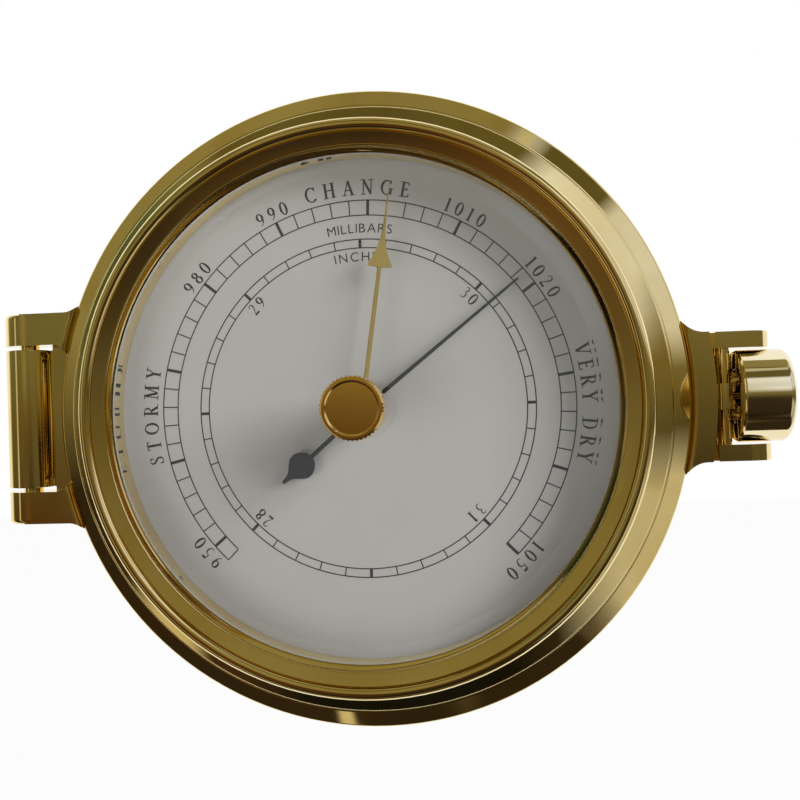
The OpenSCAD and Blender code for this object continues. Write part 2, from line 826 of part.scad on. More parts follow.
// The toothed sector with its hub, arm and link pin
module toothed_sector() {
    first = -5;
    last = 3;
    pitch_angle = 360 / sector_n;
    root = sector_pitch - 1.2 * tooth_m;
    teeth = [for (k = [first:last]) each tooth(pitch_angle * k, root, sector_pitch,
             sector_pitch + 0.75 * tooth_m, 0.675 * tooth_m, 0.55 * tooth_m, 0.225 * tooth_m)];
    rim = root - rim_t;
    left = pitch_angle * first - 3;
    right = pitch_angle * last + 3;
    color(BRASS) face_on() translate([0, -sector_at, sector_level]) {
        difference() {
            linear_extrude(sector_t) {
                polygon(concat([clock(root, left)], teeth, [clock(root, right)],
                               [for (i = [0:8]) clock(rim, right + (left - right) * i / 8)]));
                for (a = [left + 1.5, right - 1.5])
                    polygon([clock(1, a - 90), clock(1, a + 90), clock(rim + 0.4, a + 2.4),
                             clock(rim + 0.4, a - 2.4)]);
                circle(r = tail_r + hub_over);
            }
            translate([0, 0, -thin_cut])
                cylinder(h = 2, r = arbor_r, $fn = 32);
        }
        translate([tail_r, 0, link_level - sector_level - 0.3])
            cylinder(h = sector_level - link_level + 0.3, r = link_pin_r, $fn = 24);
    }
}

// The pointer arbor, from the lower plate to the pressure hand
module pointer_arbor() {
    color(STEEL) face_on() {
        translate([0, 0, lower_plate_top + 0.1])
            cylinder(h = hand_level + boss_h - lower_plate_top - 0.3, r = arbor_r, $fn = 48);
        translate([0, 0, lower_plate_top - pivot_sink])
            cylinder(h = pivot_sink + 0.2, r = pivot_r, $fn = 32);
    }
}

// The pinion on the pointer arbor, with a space turned toward the sector
module pinion() {
    pitch_angle = 360 / pinion_n;
    leaves = [for (k = [0:pinion_n - 1]) each tooth(180 + pitch_angle * (k + 0.5),
              pinion_pitch - 1.55 * tooth_m, pinion_pitch, pinion_pitch + 0.65 * tooth_m,
              tooth_m / 2, tooth_m / 2, 0.175 * tooth_m)];
    color(STEEL) face_on() translate([0, 0, sector_level - pinion_overlap])
        difference() {
            linear_extrude(sector_t + 2 * pinion_overlap)
                polygon(leaves);
            translate([0, 0, -thin_cut])
                cylinder(h = 4, r = arbor_r, $fn = 48);
        }
}

// The flat spiral spring that keeps the teeth pressed one way
module hairspring() {
    n = 24;
    total = hairspring_turns * n;
    function spiral(offset) = [for (i = [0:total])
        clock(collet_r + spiral_pitch * i / n + offset, 90 - 360 * i / n)];
    outer_side = spiral(strip_t);
    inner_side = spiral(0);
    color("steelblue") face_on() translate([0, 0, hairspring_level])
        linear_extrude(hairspring_h)
            polygon(concat(inner_side, [for (i = [total:-1:0]) outer_side[i]]));
}

// The stud on the upper plate that holds the hairspring's outer end
module hairspring_stud() {
    at = collet_r + spiral_pitch * hairspring_turns + strip_t;
    color(BRASS) face_on() translate([at, -0.5, hairspring_level])
        cube([1.2, 1, upper_plate_at - hairspring_level]);
}

// The collet on the pointer arbor that holds the hairspring's inner end
module hairspring_collet() {
    color(BRASS) face_on()
        disc(collet_r, hairspring_level - 0.2, hairspring_level + hairspring_h + 0.2, arbor_r, $fn = 48);
}

// The pressure hand: a thin tapered blade with a round counterweight that ends in a point
module pressure_hand() {
    neck = weight_x - weight_r - 1.4;
    color(BLUED) face_on() translate([0, 0, hand_level])
        difference() {
            union() {
                rotate([0, 0, -hand_angle])
                    linear_extrude(hand_t)
                        polygon([[-hand_w / 2, 0], [-hand_tip_w / 2, hand_l - 0.3], [0, hand_l],
                                 [hand_tip_w / 2, hand_l - 0.3], [hand_w / 2, 0]]);
                rotate([0, 0, 180 - hand_angle + tail_bend])
                    linear_extrude(hand_t) {
                        polygon([[-hand_w / 2, 0], [-hand_w / 2, weight_x], [hand_w / 2, weight_x],
                                 [hand_w / 2, 0]]);
                        translate([0, weight_x])
                            circle(r = weight_r, $fn = 64);
                        polygon([[0, neck], [-hand_w / 2, neck], [-weight_r * 0.86, weight_x - weight_r / 2],
                                 [weight_r * 0.86, weight_x - weight_r / 2], [hand_w / 2, neck]]);
                        polygon([[-weight_r * 0.75, weight_x + weight_r * 0.66],
                                 [weight_r * 0.75, weight_x + weight_r * 0.66],
                                 [0.5, weight_x + weight_r + 0.8], [0.3, weight_end],
                                 [-0.3, weight_end], [-0.5, weight_x + weight_r + 0.8]]);
                    }
                cylinder(h = hand_t, r = boss_r);
            }
            translate([0, 0, -thin_cut])
                cylinder(h = 2, r = arbor_r, $fn = 48);
        }
}

// The boss that grips the pressure hand on its arbor
module hand_boss() {
    color(BLUED) face_on() translate([0, 0, hand_level + hand_t])
        difference() {
            cylinder(h = boss_h - hand_t, r1 = 1.7, r2 = 1.4);
            translate([0, 0, -thin_cut])
                cylinder(h = 3, r = arbor_r, $fn = 48);
        }
}

// Outline of the bezel seen from the front: flange, knuckle lugs and latch tab, without the hollows
module bezel_plan() {
    knuckle_low = barrel_half + knuckle_gap;
    knuckle_high = knuckle_low + knuckle_h;
    circle(r = flange_r, $fn = 180);
    for (side = [-1, 1])
        scale([1, side])
            translate([-hinge_x, knuckle_low])
                square([hinge_x - foot_r + 6, knuckle_h]);
    intersection() {
        circle(r = tab_x, $fn = 180);
        translate([foot_r - 6, -tab_half])
            square([tab_x - foot_r + 6, 2 * tab_half]);
    }
    hollow(-1, knuckle_high, lug_fillet, 1);
    hollow(-1, -knuckle_high, lug_fillet, -1);
    hollow(-1, knuckle_low, pocket_fillet, -1);
    hollow(-1, -knuckle_low, pocket_fillet, 1);
    hollow(1, tab_half, tab_fillet, 1);
    hollow(1, -tab_half, tab_fillet, -1);
}

// A hollow corner of radius r between the flange and a level edge at height y;
// side is -1 at the left and 1 at the right, up is 1 above the edge and -1 below it
module hollow(side, y, r, up) {
    inner_r = flange_r - 0.05;
    cy = y + up * r;
    cx = side * sqrt(pow(inner_r + r, 2) - cy * cy);
    touch = [cx, cy] * inner_r / (inner_r + r);
    difference() {
        polygon([[cx, y - up * thin_cut], [cx, cy], touch, touch - side * [flange_w, 0],
                 [touch[0] - side * flange_w, y - up * thin_cut]]);
        translate([cx, cy])
            circle(r = r, $fn = 64);
    }
}

// Half section of the turned front, from the back plane outward; it runs on over the lugs
module bezel_section() {
    wide = hinge_x + knuckle_r;
    edge = 0.9;
    groove_r = flange_r + 0.1;
    bead_mid = (bead_r + line_r) / 2;
    bead_half = (bead_r - line_r) / 2;
    bead_base = bezel_front - bead_half;
    polygon(concat(
        [[bore_r, bezel_back], [wide, bezel_back], [wide, lug_front], [flange_r + lug_edge, lug_front],
         [flange_r + 0.5, lug_front - 0.2]],
        arc([groove_r - edge, bezel_back + flange_h - edge], edge, 0, 70, 5),
        [[foot_r + 0.7, bezel_back + flange_foot_h]],
        arc([foot_r + 0.75, bezel_back + flange_foot_h + 0.75], 0.75, 270, 190, 5),
        arc([bead_r + 4.2, bezel_front - 5.2], 4.9, 215, 184, 4),
        arc([bead_mid, bead_base], bead_half, 10, 165, 12),
        [[line_r, bezel_front - line_depth - 0.3], [line_r - 0.2, bezel_front - line_depth]],
        arc([crest_r + 0.4, crest_top - 0.4], 0.4, 75, 180, 5),
        [[opening_r, glass_seat + 0.5], [opening_r, glass_seat], [glass_r, glass_seat],
         [glass_r, gasket_back], [bore_r, gasket_back]]));
}

// The moulded bezel with its knuckles and latch tab
module bezel_ring() {
    knuckle_low = barrel_half + knuckle_gap;
    color(BRASS) face_on() difference() {
        union() {
            intersection() {
                rotate_extrude($fn = 180)
                    bezel_section();
                linear_extrude(bezel_front + 1)
                    bezel_plan();
            }
            for (side = [0, 1])
                mirror([0, side, 0])
                    knuckle(knuckle_low);
        }
        upright_bar(-hinge_x, pin_level, -hinge_x, hinge_x, hinge_pin_r + run_fit);
    }
}

// One knuckle, with its outer end rounded
module knuckle(low) {
    translate([-hinge_x, low, pin_level])
        rotate([-90, 0, 0])
            rotate_extrude()
                polygon(concat([[0, 0], [knuckle_r, 0]],
                    arc([knuckle_r - knuckle_edge, knuckle_h - knuckle_edge], knuckle_edge, 0, 90, 6),
                    [[0, knuckle_h]]));
}

// The glass, with a bevelled rim and a hole for the bush
module glass() {
    color(CLEAR) face_on() rotate_extrude($fn = 180)
        polygon([[bush_r, glass_back], [glass_r, glass_back], [glass_r, glass_seat],
                 [opening_r, glass_seat], [opening_r - bevel_w, glass_front], [bush_r, glass_front]]);
}

// The rubber gasket behind the glass
module glass_gasket() {
    color(RUBBER) face_on()
        disc(glass_r, gasket_back, glass_back, gasket_in_r, $fn = 180);
}

// The ring that is screwed in behind the glass, with two slots to turn it
module retaining_ring() {
    color(BRASS) face_on() difference() {
        disc(bore_r, ring_back, gasket_back, ring_in_r, $fn = 180);
        for (side = [-1, 1])
            translate([side * bore_r, 0, ring_back])
                cube([2 * (bore_r - ring_in_r) + 1, ring_slot_w, ring_t], center = true);
    }
}

// The flanged bush that holds the spindle in the glass
module spindle_bush() {
    color(BRASS) face_on() difference() {
        union() {
            translate([0, 0, bush_back])
                cylinder(h = bush_front - bush_back, r = bush_r);
            translate([0, 0, glass_front])
                cylinder(h = bush_flange_h, r = bush_flange_r);
        }
        cylinder(h = knob_top, r = spindle_r + run_fit, $fn = 48);
    }
}

// The round nut behind the glass, with two flats
module bush_nut() {
    color(BRASS) face_on() translate([0, 0, bush_back])
        difference() {
            cylinder(h = bush_nut_t, r = bush_flange_r);
            translate([0, 0, -thin_cut])
                cylinder(h = 3, r = bush_r);
            for (side = [0, 1])
                mirror([0, side, 0])
                    translate([-bush_flange_r, bush_flange_r - 0.7, -thin_cut])
                        cube([2 * bush_flange_r, 3, 3]);
        }
}

// The knurled knob with its dished face
module set_knob() {
    crown = 0.5;
    tips = [for (i = [0:2 * knurl_n - 1]) clock(knob_r - (i % 2) * knurl_depth, 180 * i / knurl_n)];
    color(BRASS) face_on() difference() {
        union() {
            translate([0, 0, knob_bottom])
                cylinder(h = knob_neck_h, r = knob_neck_r);
            intersection() {
                translate([0, 0, knob_neck_top])
                    linear_extrude(knob_h)
                        polygon(tips);
                translate([0, 0, knob_neck_top])
                    rotate_extrude()
                        polygon([[0, 0], [knob_r - crown, 0], [knob_r, crown],
                                 [knob_r, knob_h - crown], [knob_r - crown, knob_h], [0, knob_h]]);
            }
        }
        translate([0, 0, knob_top - knob_dish])
            cylinder(h = 1, r1 = knob_face_r - 0.3, r2 = knob_face_r + 0.6);
        translate([0, 0, knob_bottom - thin_cut])
            cylinder(h = knob_neck_h + knob_bore + thin_cut, r = spindle_r);
    }
}

// The spindle, from inside the knob to the set hand
module set_spindle() {
    color(STEEL) face_on() translate([0, 0, set_level])
        cylinder(h = knob_neck_top + knob_bore - set_level, r = spindle_r, $fn = 48);
}

// The dished washer that gives the knob its friction
module spring_washer() {
    color(STEEL) face_on() rotate_extrude()
        polygon([[spindle_r + run_fit, knob_bottom], [spindle_r + run_fit, knob_bottom - 0.3],
                 [knob_neck_r - 0.4, bush_front + 0.05], [knob_neck_r - 0.4, bush_front + 0.35]]);
}

// The brass set hand: boss, shaft, hollow-sided arrow and needle point
module set_hand() {
    steps = 8;
    side = [for (i = [0:steps]) [0.35 + (arrow_half - 0.35) * pow(1 - i / steps, 2.2),
            arrow_x + 0.3 + (arrow_neck - arrow_x) * i / steps]];
    color(BRASS) face_on() translate([0, 0, set_level])
        difference() {
            union() {
                rotate([0, 0, -set_angle])
                    linear_extrude(hand_t) {
                        polygon([[-set_w / 2, 0], [-set_w / 2, arrow_x + 1], [set_w / 2, arrow_x + 1],
                                 [set_w / 2, 0]]);
                        polygon(concat([[-arrow_half, arrow_x], [arrow_half, arrow_x]], side,
                                       [[0.12, set_l], [-0.12, set_l]],
                                       [for (i = [steps:-1:0]) [-side[i][0], side[i][1]]]));
                    }
                cylinder(h = hand_t, r = hub_r);
                translate([0, 0, -hub_drop])
                    cylinder(h = hub_drop, r = boss_r);
            }
            translate([0, 0, 0])
                cylinder(h = 2, r = spindle_r, $fn = 48);
        }
}

// The swing bolt: an eye on the latch pin with a stud
module swing_bolt() {
    tip = 0.5;
    color(BRASS) face_on() difference() {
        union() {
            upright_bar(latch_x, pin_level, -eye_half, eye_half, eye_r);
            level_bar(0, pin_level, latch_x, latch_x + stud_l - tip, stud_r);
            translate([latch_x + stud_l - tip, 0, pin_level])
                rotate([0, 90, 0])
                    cylinder(h = tip, r1 = stud_r, r2 = stud_r - tip);
        }
        upright_bar(latch_x, pin_level, -eye_half - 1, eye_half + 1, latch_pin_r + run_fit);
    }
}

// The locking nut, bored from its inner face
module locking_nut() {
    bore_end = nut_l - nut_wall;
    color(BRASS) face_on() translate([latch_x + nut_start, 0, pin_level])
        rotate([0, 90, 0])
            rotate_extrude()
                polygon(concat(
                    [[stud_r + run_fit, counterbore_depth], [counterbore_r, counterbore_depth],
                     [counterbore_r, 0.3], [counterbore_r + 0.3, 0], [nut_r - 0.4, 0], [nut_r, 0.4]],
                    arc([nut_r - nut_edge, nut_l - nut_edge], nut_edge, 0, 90),
                    [[0, nut_l], [0, bore_end], [stud_r + run_fit, bore_end]]));
}

case_body();
hinge_arm();
latch_fork();
hinge_pin();
latch_pin();
movement_drum();
drum_screws();
dial_plate();
base_plate();
capsule_bed();
bed_screw();
adjusting_screw();
pillars();
lower_plate();
spacers();
upper_plate();
plate_screws();
dial_posts();
shaft_brackets();
aneroid_capsule();
capsule_post();
rocking_shaft();
short_lever();
long_lever();
sector_link();
sector_arbor();
toothed_sector();
pointer_arbor();
pinion();
hairspring();
hairspring_collet();
hairspring_stud();
pressure_hand();
hand_boss();
bezel_ring();
glass();
glass_gasket();
retaining_ring();
spindle_bush();
bush_nut();
set_knob();
set_spindle();
spring_washer();
set_hand();
swing_bolt();
locking_nut();
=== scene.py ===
import json
import math
import bpy
from mathutils import Matrix, Vector

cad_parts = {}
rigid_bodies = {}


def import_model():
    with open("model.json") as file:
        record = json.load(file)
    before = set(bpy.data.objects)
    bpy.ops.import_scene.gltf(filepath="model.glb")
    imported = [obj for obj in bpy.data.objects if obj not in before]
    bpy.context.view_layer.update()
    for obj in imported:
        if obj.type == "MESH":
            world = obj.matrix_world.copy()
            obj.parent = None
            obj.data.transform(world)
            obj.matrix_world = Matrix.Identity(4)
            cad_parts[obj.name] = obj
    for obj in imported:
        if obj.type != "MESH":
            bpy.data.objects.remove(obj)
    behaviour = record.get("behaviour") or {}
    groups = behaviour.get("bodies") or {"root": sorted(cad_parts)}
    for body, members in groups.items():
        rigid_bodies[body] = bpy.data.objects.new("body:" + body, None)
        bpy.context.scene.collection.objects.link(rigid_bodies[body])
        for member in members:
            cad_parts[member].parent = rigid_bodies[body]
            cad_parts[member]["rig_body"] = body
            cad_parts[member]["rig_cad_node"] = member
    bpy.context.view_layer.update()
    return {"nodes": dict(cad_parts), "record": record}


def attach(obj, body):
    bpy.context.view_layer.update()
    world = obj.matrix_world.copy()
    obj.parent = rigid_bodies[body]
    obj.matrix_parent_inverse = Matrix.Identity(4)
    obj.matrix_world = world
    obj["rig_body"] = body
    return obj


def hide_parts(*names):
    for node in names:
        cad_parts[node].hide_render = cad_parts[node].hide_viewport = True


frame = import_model()
mm = 0.001
print("frame loaded")

# the photographer's place: a little to the right of the face, close to it
cameraSet = {"place": (27.07, -224.96, -0.38), "turn": 5.85, "tilt": 0.53, "roll": -1.85, "lens": 42.75,
             "nearest": 5}

bpy.ops.object.camera_add(location=[v * mm for v in cameraSet["place"]])
camera = bpy.context.object
camera.name = "viewCamera"
aim = Matrix.Rotation(math.radians(90), 3, "X")
for key, axis in (("turn", "Y"), ("tilt", "X"), ("roll", "Z")):
    aim = aim @ Matrix.Rotation(math.radians(cameraSet[key]), 3, axis)
camera.rotation_euler = aim.to_euler()
camera.data.lens = cameraSet["lens"]
camera.data.clip_start = cameraSet["nearest"] * mm
bpy.context.scene.camera = camera
bpy.context.scene.view_settings.view_transform = "Standard"


class Wire:
    # a socket that Python expressions can work with
    def __init__(self, bench, end):
        self.bench = bench
        self.end = end

    def __add__(self, other):
        return self.bench.maths("ADD", self, other)

    def __sub__(self, other):
        return self.bench.maths("SUBTRACT", self, other)

    def __rsub__(self, other):
        return self.bench.maths("SUBTRACT", other, self)

    def __mul__(self, other):
        return self.bench.maths("MULTIPLY", self, other)

    def __truediv__(self, other):
        return self.bench.maths("DIVIDE", self, other)

    def __pow__(self, other):
        return self.bench.maths("POWER", self, other)

    __radd__ = __add__
    __rmul__ = __mul__


class NodeBench:
    def __init__(self, owner):
        owner.use_nodes = True
        self.owner = owner
        self.tree = owner.node_tree
        self.tree.nodes.clear()

    def add(self, kind, settings=None, values=None, out=0):
        node = self.tree.nodes.new(kind)
        for key, value in (settings or {}).items():
            setattr(node, key, value)
        for key, value in (values or {}).items():
            if isinstance(value, Wire):
                self.tree.links.new(value.end, node.inputs[key])
            elif isinstance(value, tuple) and len(value) == 3 and node.inputs[key].type == "RGBA":
                node.inputs[key].default_value = (*value, 1)
            else:
                node.inputs[key].default_value = value
        return Wire(self, node.outputs[out])

    def maths(self, operation, *values):
        return self.add("ShaderNodeMath", {"operation": operation}, dict(enumerate(values)))

    def rayIs(self, *kinds):
        # 1 where the ray is of one of these kinds
        found = self.add("ShaderNodeLightPath", out=kinds[0])
        for kind in kinds[1:]:
            found = self.maths("MAXIMUM", found, self.add("ShaderNodeLightPath", out=kind))
        return found

    def blend(self, factor, first, second, way="MIX"):
        return self.add("ShaderNodeMix", {"data_type": "RGBA", "blend_type": way},
                        {0: factor, 6: first, 7: second}, out=2)

    def noise(self, spot, scale, detail=2.0):
        return self.add("ShaderNodeTexNoise", None, {"Vector": spot, "Scale": scale, "Detail": detail},
                        out="Fac")

    def level(self, value, low, high, first=0.0, second=1.0):
        return self.add("ShaderNodeMapRange", None, {"Value": value, "From Min": low, "From Max": high,
                                                     "To Min": first, "To Max": second}, out="Result")

    def finish(self, shader, kind="ShaderNodeOutputMaterial"):
        self.tree.links.new(shader.end, self.tree.nodes.new(kind).inputs["Surface"])
        return self.owner


roomSet = {"light": (1.0, 0.93, 0.74), "strength": 0.13}


def whiteRoom(look):
    # painted surfaces get the soft light; the camera, metal and glass see a white background
    bench = NodeBench(bpy.context.scene.world or bpy.data.worlds.new("studioWorld"))
    bpy.context.scene.world = bench.owner
    bounces = bench.add("ShaderNodeLightPath", out="Diffuse Depth")
    seen = bench.rayIs("Is Camera Ray", "Is Glossy Ray", "Is Transmission Ray")
    seen = seen * bench.maths("LESS_THAN", bounces, 0.5)    # the dial, too, gets only the soft light
    soft = bench.add("ShaderNodeBackground", None, {"Color": look["light"], "Strength": look["strength"]})
    white = bench.add("ShaderNodeBackground", None, {"Color": (1.0, 1.0, 1.0), "Strength": 1.0})
    mixed = bench.add("ShaderNodeMixShader", None, {0: seen, 1: soft, 2: white})
    bench.finish(mixed, "ShaderNodeOutputWorld")


whiteRoom(roomSet)

# a window at the upper right, which shades the dial under the rim, and a weak lamp at the lower left
lampSet = {
    "rightWindow": {"place": (826, -615, 385), "size": (500, 500), "power": 11.4,
                    "colour": (1.0, 0.985, 0.975)},
    "leftSoft": {"place": (-150, -270, -70), "size": (120, 160), "power": 0.2,
                 "colour": (1.0, 0.98, 0.95)},
}
for name, lamp in lampSet.items():
    bpy.ops.object.light_add(type="AREA", location=[v * mm for v in lamp["place"]])
    light = bpy.context.object
    light.name = name
    light.data.shape = "RECTANGLE"
    light.data.size, light.data.size_y = [v * mm for v in lamp["size"]]
    light.data.energy = lamp["power"]
    light.data.color = lamp["colour"]
    light.rotation_euler = (-light.location).to_track_quat("-Z", "Y").to_euler()
    light.visible_glossy = light.visible_transmission = False    # the dome is what gloss shows


def clearSelection():
    if bpy.context.object and bpy.context.object.mode != "OBJECT":
        bpy.ops.object.mode_set(mode="OBJECT")
    bpy.ops.object.select_all(action="DESELECT")


def makeActive(piece):
    clearSelection()
    piece.select_set(True)
    bpy.context.view_layer.objects.active = piece


def joinAll(pieces):
    makeActive(pieces[0])
    for piece in pieces:
        piece.select_set(True)
    bpy.ops.object.join()
    return bpy.context.object


# what the polished metal sees in front of it: a dim room with a window, painted on half a dome. A patch
# is its left and right, lowest and highest angle and the softness of its edge, in degrees, and a colour;
# angles count from the viewer's side to the right and upward
domeSet = {
    "radius": 1.2, "segments": 96, "rings": 48, "cut": 0.12,
    "low": (0.030, 0.020, 0.010), "high": (0.265, 0.225, 0.090),
    "swell": (-12, 14), "cloudScale": 2.6, "cloud": ((0.7, 0.7, 0.68), (1.3, 1.3, 1.32)),
    "patches": {
        "leftWall": (-179, -100, -20, 80, 8, (0.20, 0.17, 0.07)),
        "windowRight": (16, 74, 10, 60, 4, (0.78, 0.80, 0.88)),
        "windowBar": (43, 49, 5, 66, 1.5, (0.16, 0.12, 0.03)),
        "windowFar": (84, 118, 8, 52, 3, (0.86, 0.88, 0.95)),
        "lowRight": (34, 112, -46, -10, 5, (0.58, 0.55, 0.45)),
        "lowBar": (58, 66, -50, -5, 2, (0.07, 0.04, 0.015)),
        "ceilingLight": (-60, 60, 58, 61, 1, (0.62, 0.56, 0.36)),
        "ceilingEdge": (-70, 70, 40, 57, 2, (0.125, 0.105, 0.035)),
        "leftPlant": (-64, -28, 6, 36, 6, (0.085, 0.110, 0.048)),
        "leftDoor": (-52, -45, -76, 22, 1.5, (0.62, 0.56, 0.36)),
        "leftLamp": (-98, -88, -58, 46, 2.5, (0.66, 0.58, 0.34)),
        "redShelf": (-42, -8, -40, -6, 5, (0.105, 0.040, 0.012)),
        "viewer": (-14, 24, -30, -4, 5, (0.040, 0.026, 0.014)),
        "viewerHead": (-18, -1, 0, 9, 2.5, (0.25, 0.20, 0.065)),
        "viewerChest": (-18, -1, -9, 0, 2.5, (0.13, 0.075, 0.022)),
        "tableEdge": (-40, 40, -72, -60, 4, (0.13, 0.105, 0.05)),
        "tableShade": (-30, 26, -56, -42, 3, (0.010, 0.009, 0.006)),
    },
}
clearSelection()
bpy.ops.mesh.primitive_uv_sphere_add(segments=domeSet["segments"], ring_count=domeSet["rings"],
                                     radius=domeSet["radius"])
dome = bpy.context.object
dome.name = "roomDome"
bpy.ops.object.mode_set(mode="EDIT")
bpy.ops.mesh.select_all(action="SELECT")
bpy.ops.mesh.bisect(plane_co=(0, domeSet["cut"], 0), plane_no=(0, 1, 0), clear_outer=True)
bpy.ops.mesh.select_all(action="SELECT")
bpy.ops.mesh.flip_normals()
bpy.ops.object.mode_set(mode="OBJECT")
dome.visible_camera = dome.visible_diffuse = dome.visible_shadow = dome.visible_transmission = False
bench = NodeBench(bpy.data.materials.new("roomDomePaint"))
spot = bench.add("ShaderNodeTexCoord", out="Object")
along = {letter: bench.add("ShaderNodeSeparateXYZ", None, {0: spot}, out=letter) for letter in "XYZ"}
toDegrees = 180 / math.pi
azimuth = bench.maths("ARCTAN2", along["X"], 0.0 - along["Y"]) * toDegrees
height = bench.maths("ARCSINE", along["Z"] / domeSet["radius"]) * toDegrees
tone = bench.blend(bench.level(height, *domeSet["swell"]), domeSet["low"], domeSet["high"])
for left, right, low, high, soft, colour in domeSet["patches"].values():
    inside = (bench.level(azimuth, left - soft, left + soft)
              * bench.level(azimuth, right + soft, right - soft)
              * bench.level(height, low - soft, low + soft)
              * bench.level(height, high + soft, high - soft))
    tone = bench.blend(inside, tone, colour)
cloud = bench.blend(bench.noise(spot, domeSet["cloudScale"], 3.0), *domeSet["cloud"])
tone = bench.blend(1.0, tone, cloud, "MULTIPLY")
glow = bench.add("ShaderNodeEmission", None, {"Color": tone, "Strength": 1.0})
dome.data.materials.append(bench.finish(glow))

# a pale floor that fades into the white room and keeps the shadow of the piece
floorSet = {"size": 3, "place": (0, -0.2, -0.16), "white": 0.965, "rough": 0.9, "grainScale": 40.0,
            "paint": ((0.80, 0.80, 0.80), (0.84, 0.84, 0.84))}
clearSelection()
bpy.ops.mesh.primitive_plane_add(size=floorSet["size"], location=floorSet["place"])
floor = bpy.context.object
floor.name = "paleFloor"
floor.visible_glossy = False    # metal sees the white room and the dome instead
bench = NodeBench(bpy.data.materials.new("paleFloorPaint"))
grain = bench.noise(bench.add("ShaderNodeTexCoord", out="Object"), floorSet["grainScale"])
plain = bench.add("ShaderNodeBsdfPrincipled", None, {
    "Base Color": bench.blend(grain, *floorSet["paint"]), "Roughness": floorSet["rough"]})
seen = bench.rayIs("Is Camera Ray", "Is Transmission Ray")
white = bench.add("ShaderNodeEmission", None, {"Color": (1.0, 1.0, 1.0), "Strength": 1.0})
mixed = bench.add("ShaderNodeMixShader", None, {0: seen * floorSet["white"], 1: plain, 2: white})
floor.data.materials.append(bench.finish(mixed))
print("camera, lamps and room stand")


# polished brass with turning marks round an axis. Stain and scratch are what they add to rough; a noise
# is without effect at the first value of its range and has its full effect at the second
brassSet = {"colour": (0.90, 0.75, 0.40), "deep": (0.80, 0.60, 0.24), "axis": "Y", "centre": (0, 0, 0),
            "rough": 0.03, "stain": 0.06, "scratch": 0.03, "marks": 0.04, "markDepth": 0.02, "dents": 0.4,
            "stainScale": 55.0, "wearScale": 420.0, "latheScale": 3500.0,
            "deepRange": (0.4, 0.75), "stainRange": (0.45, 0.8), "scratchRange": (0.5, 0.8)}


def turnedBrass(name, look):
    bench = NodeBench(bpy.data.materials.new(name))
    spot = bench.add("ShaderNodeTexCoord", out="Object")
    away = tuple(-v * mm for v in look["centre"])
    local = bench.add("ShaderNodeMapping", None, {"Vector": spot, "Location": away})
    along = {letter: bench.add("ShaderNodeSeparateXYZ", None, {0: local}, out=letter) for letter in "XYZ"}
    across = [along[letter] for letter in "XYZ" if letter != look["axis"]]
    radius = (across[0] * across[0] + across[1] * across[1]) ** 0.5
    lathe = bench.add("ShaderNodeTexNoise", {"noise_dimensions": "1D"},
                      {"W": (radius + along[look["axis"]]) * look["latheScale"], "Scale": 1.0, "Detail": 2.0},
                      out="Fac")
    stain = bench.noise(local, look["stainScale"], 4.0)
    wear = bench.noise(local, look["wearScale"], 3.0)
    tone = bench.blend(bench.level(stain, *look["deepRange"]), look["colour"], look["deep"])
    rough = (look["rough"] + look["stain"] * bench.level(stain, *look["stainRange"])
             + look["scratch"] * bench.level(wear, *look["scratchRange"]))
    bump = bench.add("ShaderNodeBump", None, {"Strength": look["marks"], "Distance": look["markDepth"] * mm,
                                              "Height": lathe + look["dents"] * wear})
    return bench.finish(bench.add("ShaderNodeBsdfPrincipled", None,
                                  {"Base Color": tone, "Metallic": 1.0, "Roughness": rough, "Normal": bump}))


# an even finish with a fine grain, also used for plain metal; slow is the scale of its change of colour
# as a share of the grain's, and dull what the grain adds to the roughness
paintSet = {"slow": 0.12, "dull": 0.06, "marks": 0.1, "markDepth": 0.01}


def plainPaint(name, colours, rough, metal=0.0, scale=300.0, gloss=0.5):
    bench = NodeBench(bpy.data.materials.new(name))
    spot = bench.add("ShaderNodeTexCoord", out="Object")
    grain = bench.noise(spot, scale, 3.0)
    slow = bench.noise(spot, scale * paintSet["slow"])
    bump = bench.add("ShaderNodeBump", None, {"Strength": paintSet["marks"],
                                              "Distance": paintSet["markDepth"] * mm, "Height": grain})
    return bench.finish(bench.add("ShaderNodeBsdfPrincipled", None, {
        "Base Color": bench.blend(slow, *colours), "Metallic": metal,
        "Roughness": rough + paintSet["dull"] * grain, "Specular IOR Level": gloss, "Normal": bump}))


clearSet = {"tint": (0.97, 0.99, 0.98), "shadow": (0.96, 0.98, 0.97), "bending": 1.5, "smear": 0.01,
            "smearScale": 35.0, "smearRange": (0.55, 0.9)}


def clearGlass(name):
    bench = NodeBench(bpy.data.materials.new(name))
    smear = bench.noise(bench.add("ShaderNodeTexCoord", out="Object"), clearSet["smearScale"], 3.0)
    rough = clearSet["smear"] * bench.level(smear, *clearSet["smearRange"])
    solid = bench.add("ShaderNodeBsdfPrincipled", None, {
        "Base Color": clearSet["tint"], "Roughness": rough, "IOR": clearSet["bending"],
        "Transmission Weight": 1.0})
    passing = bench.add("ShaderNodeBsdfTransparent", None, {"Color": clearSet["shadow"]})
    return bench.finish(bench.add("ShaderNodeMixShader", None,
                                  {0: bench.rayIs("Is Shadow Ray"), 1: solid, 2: passing}))


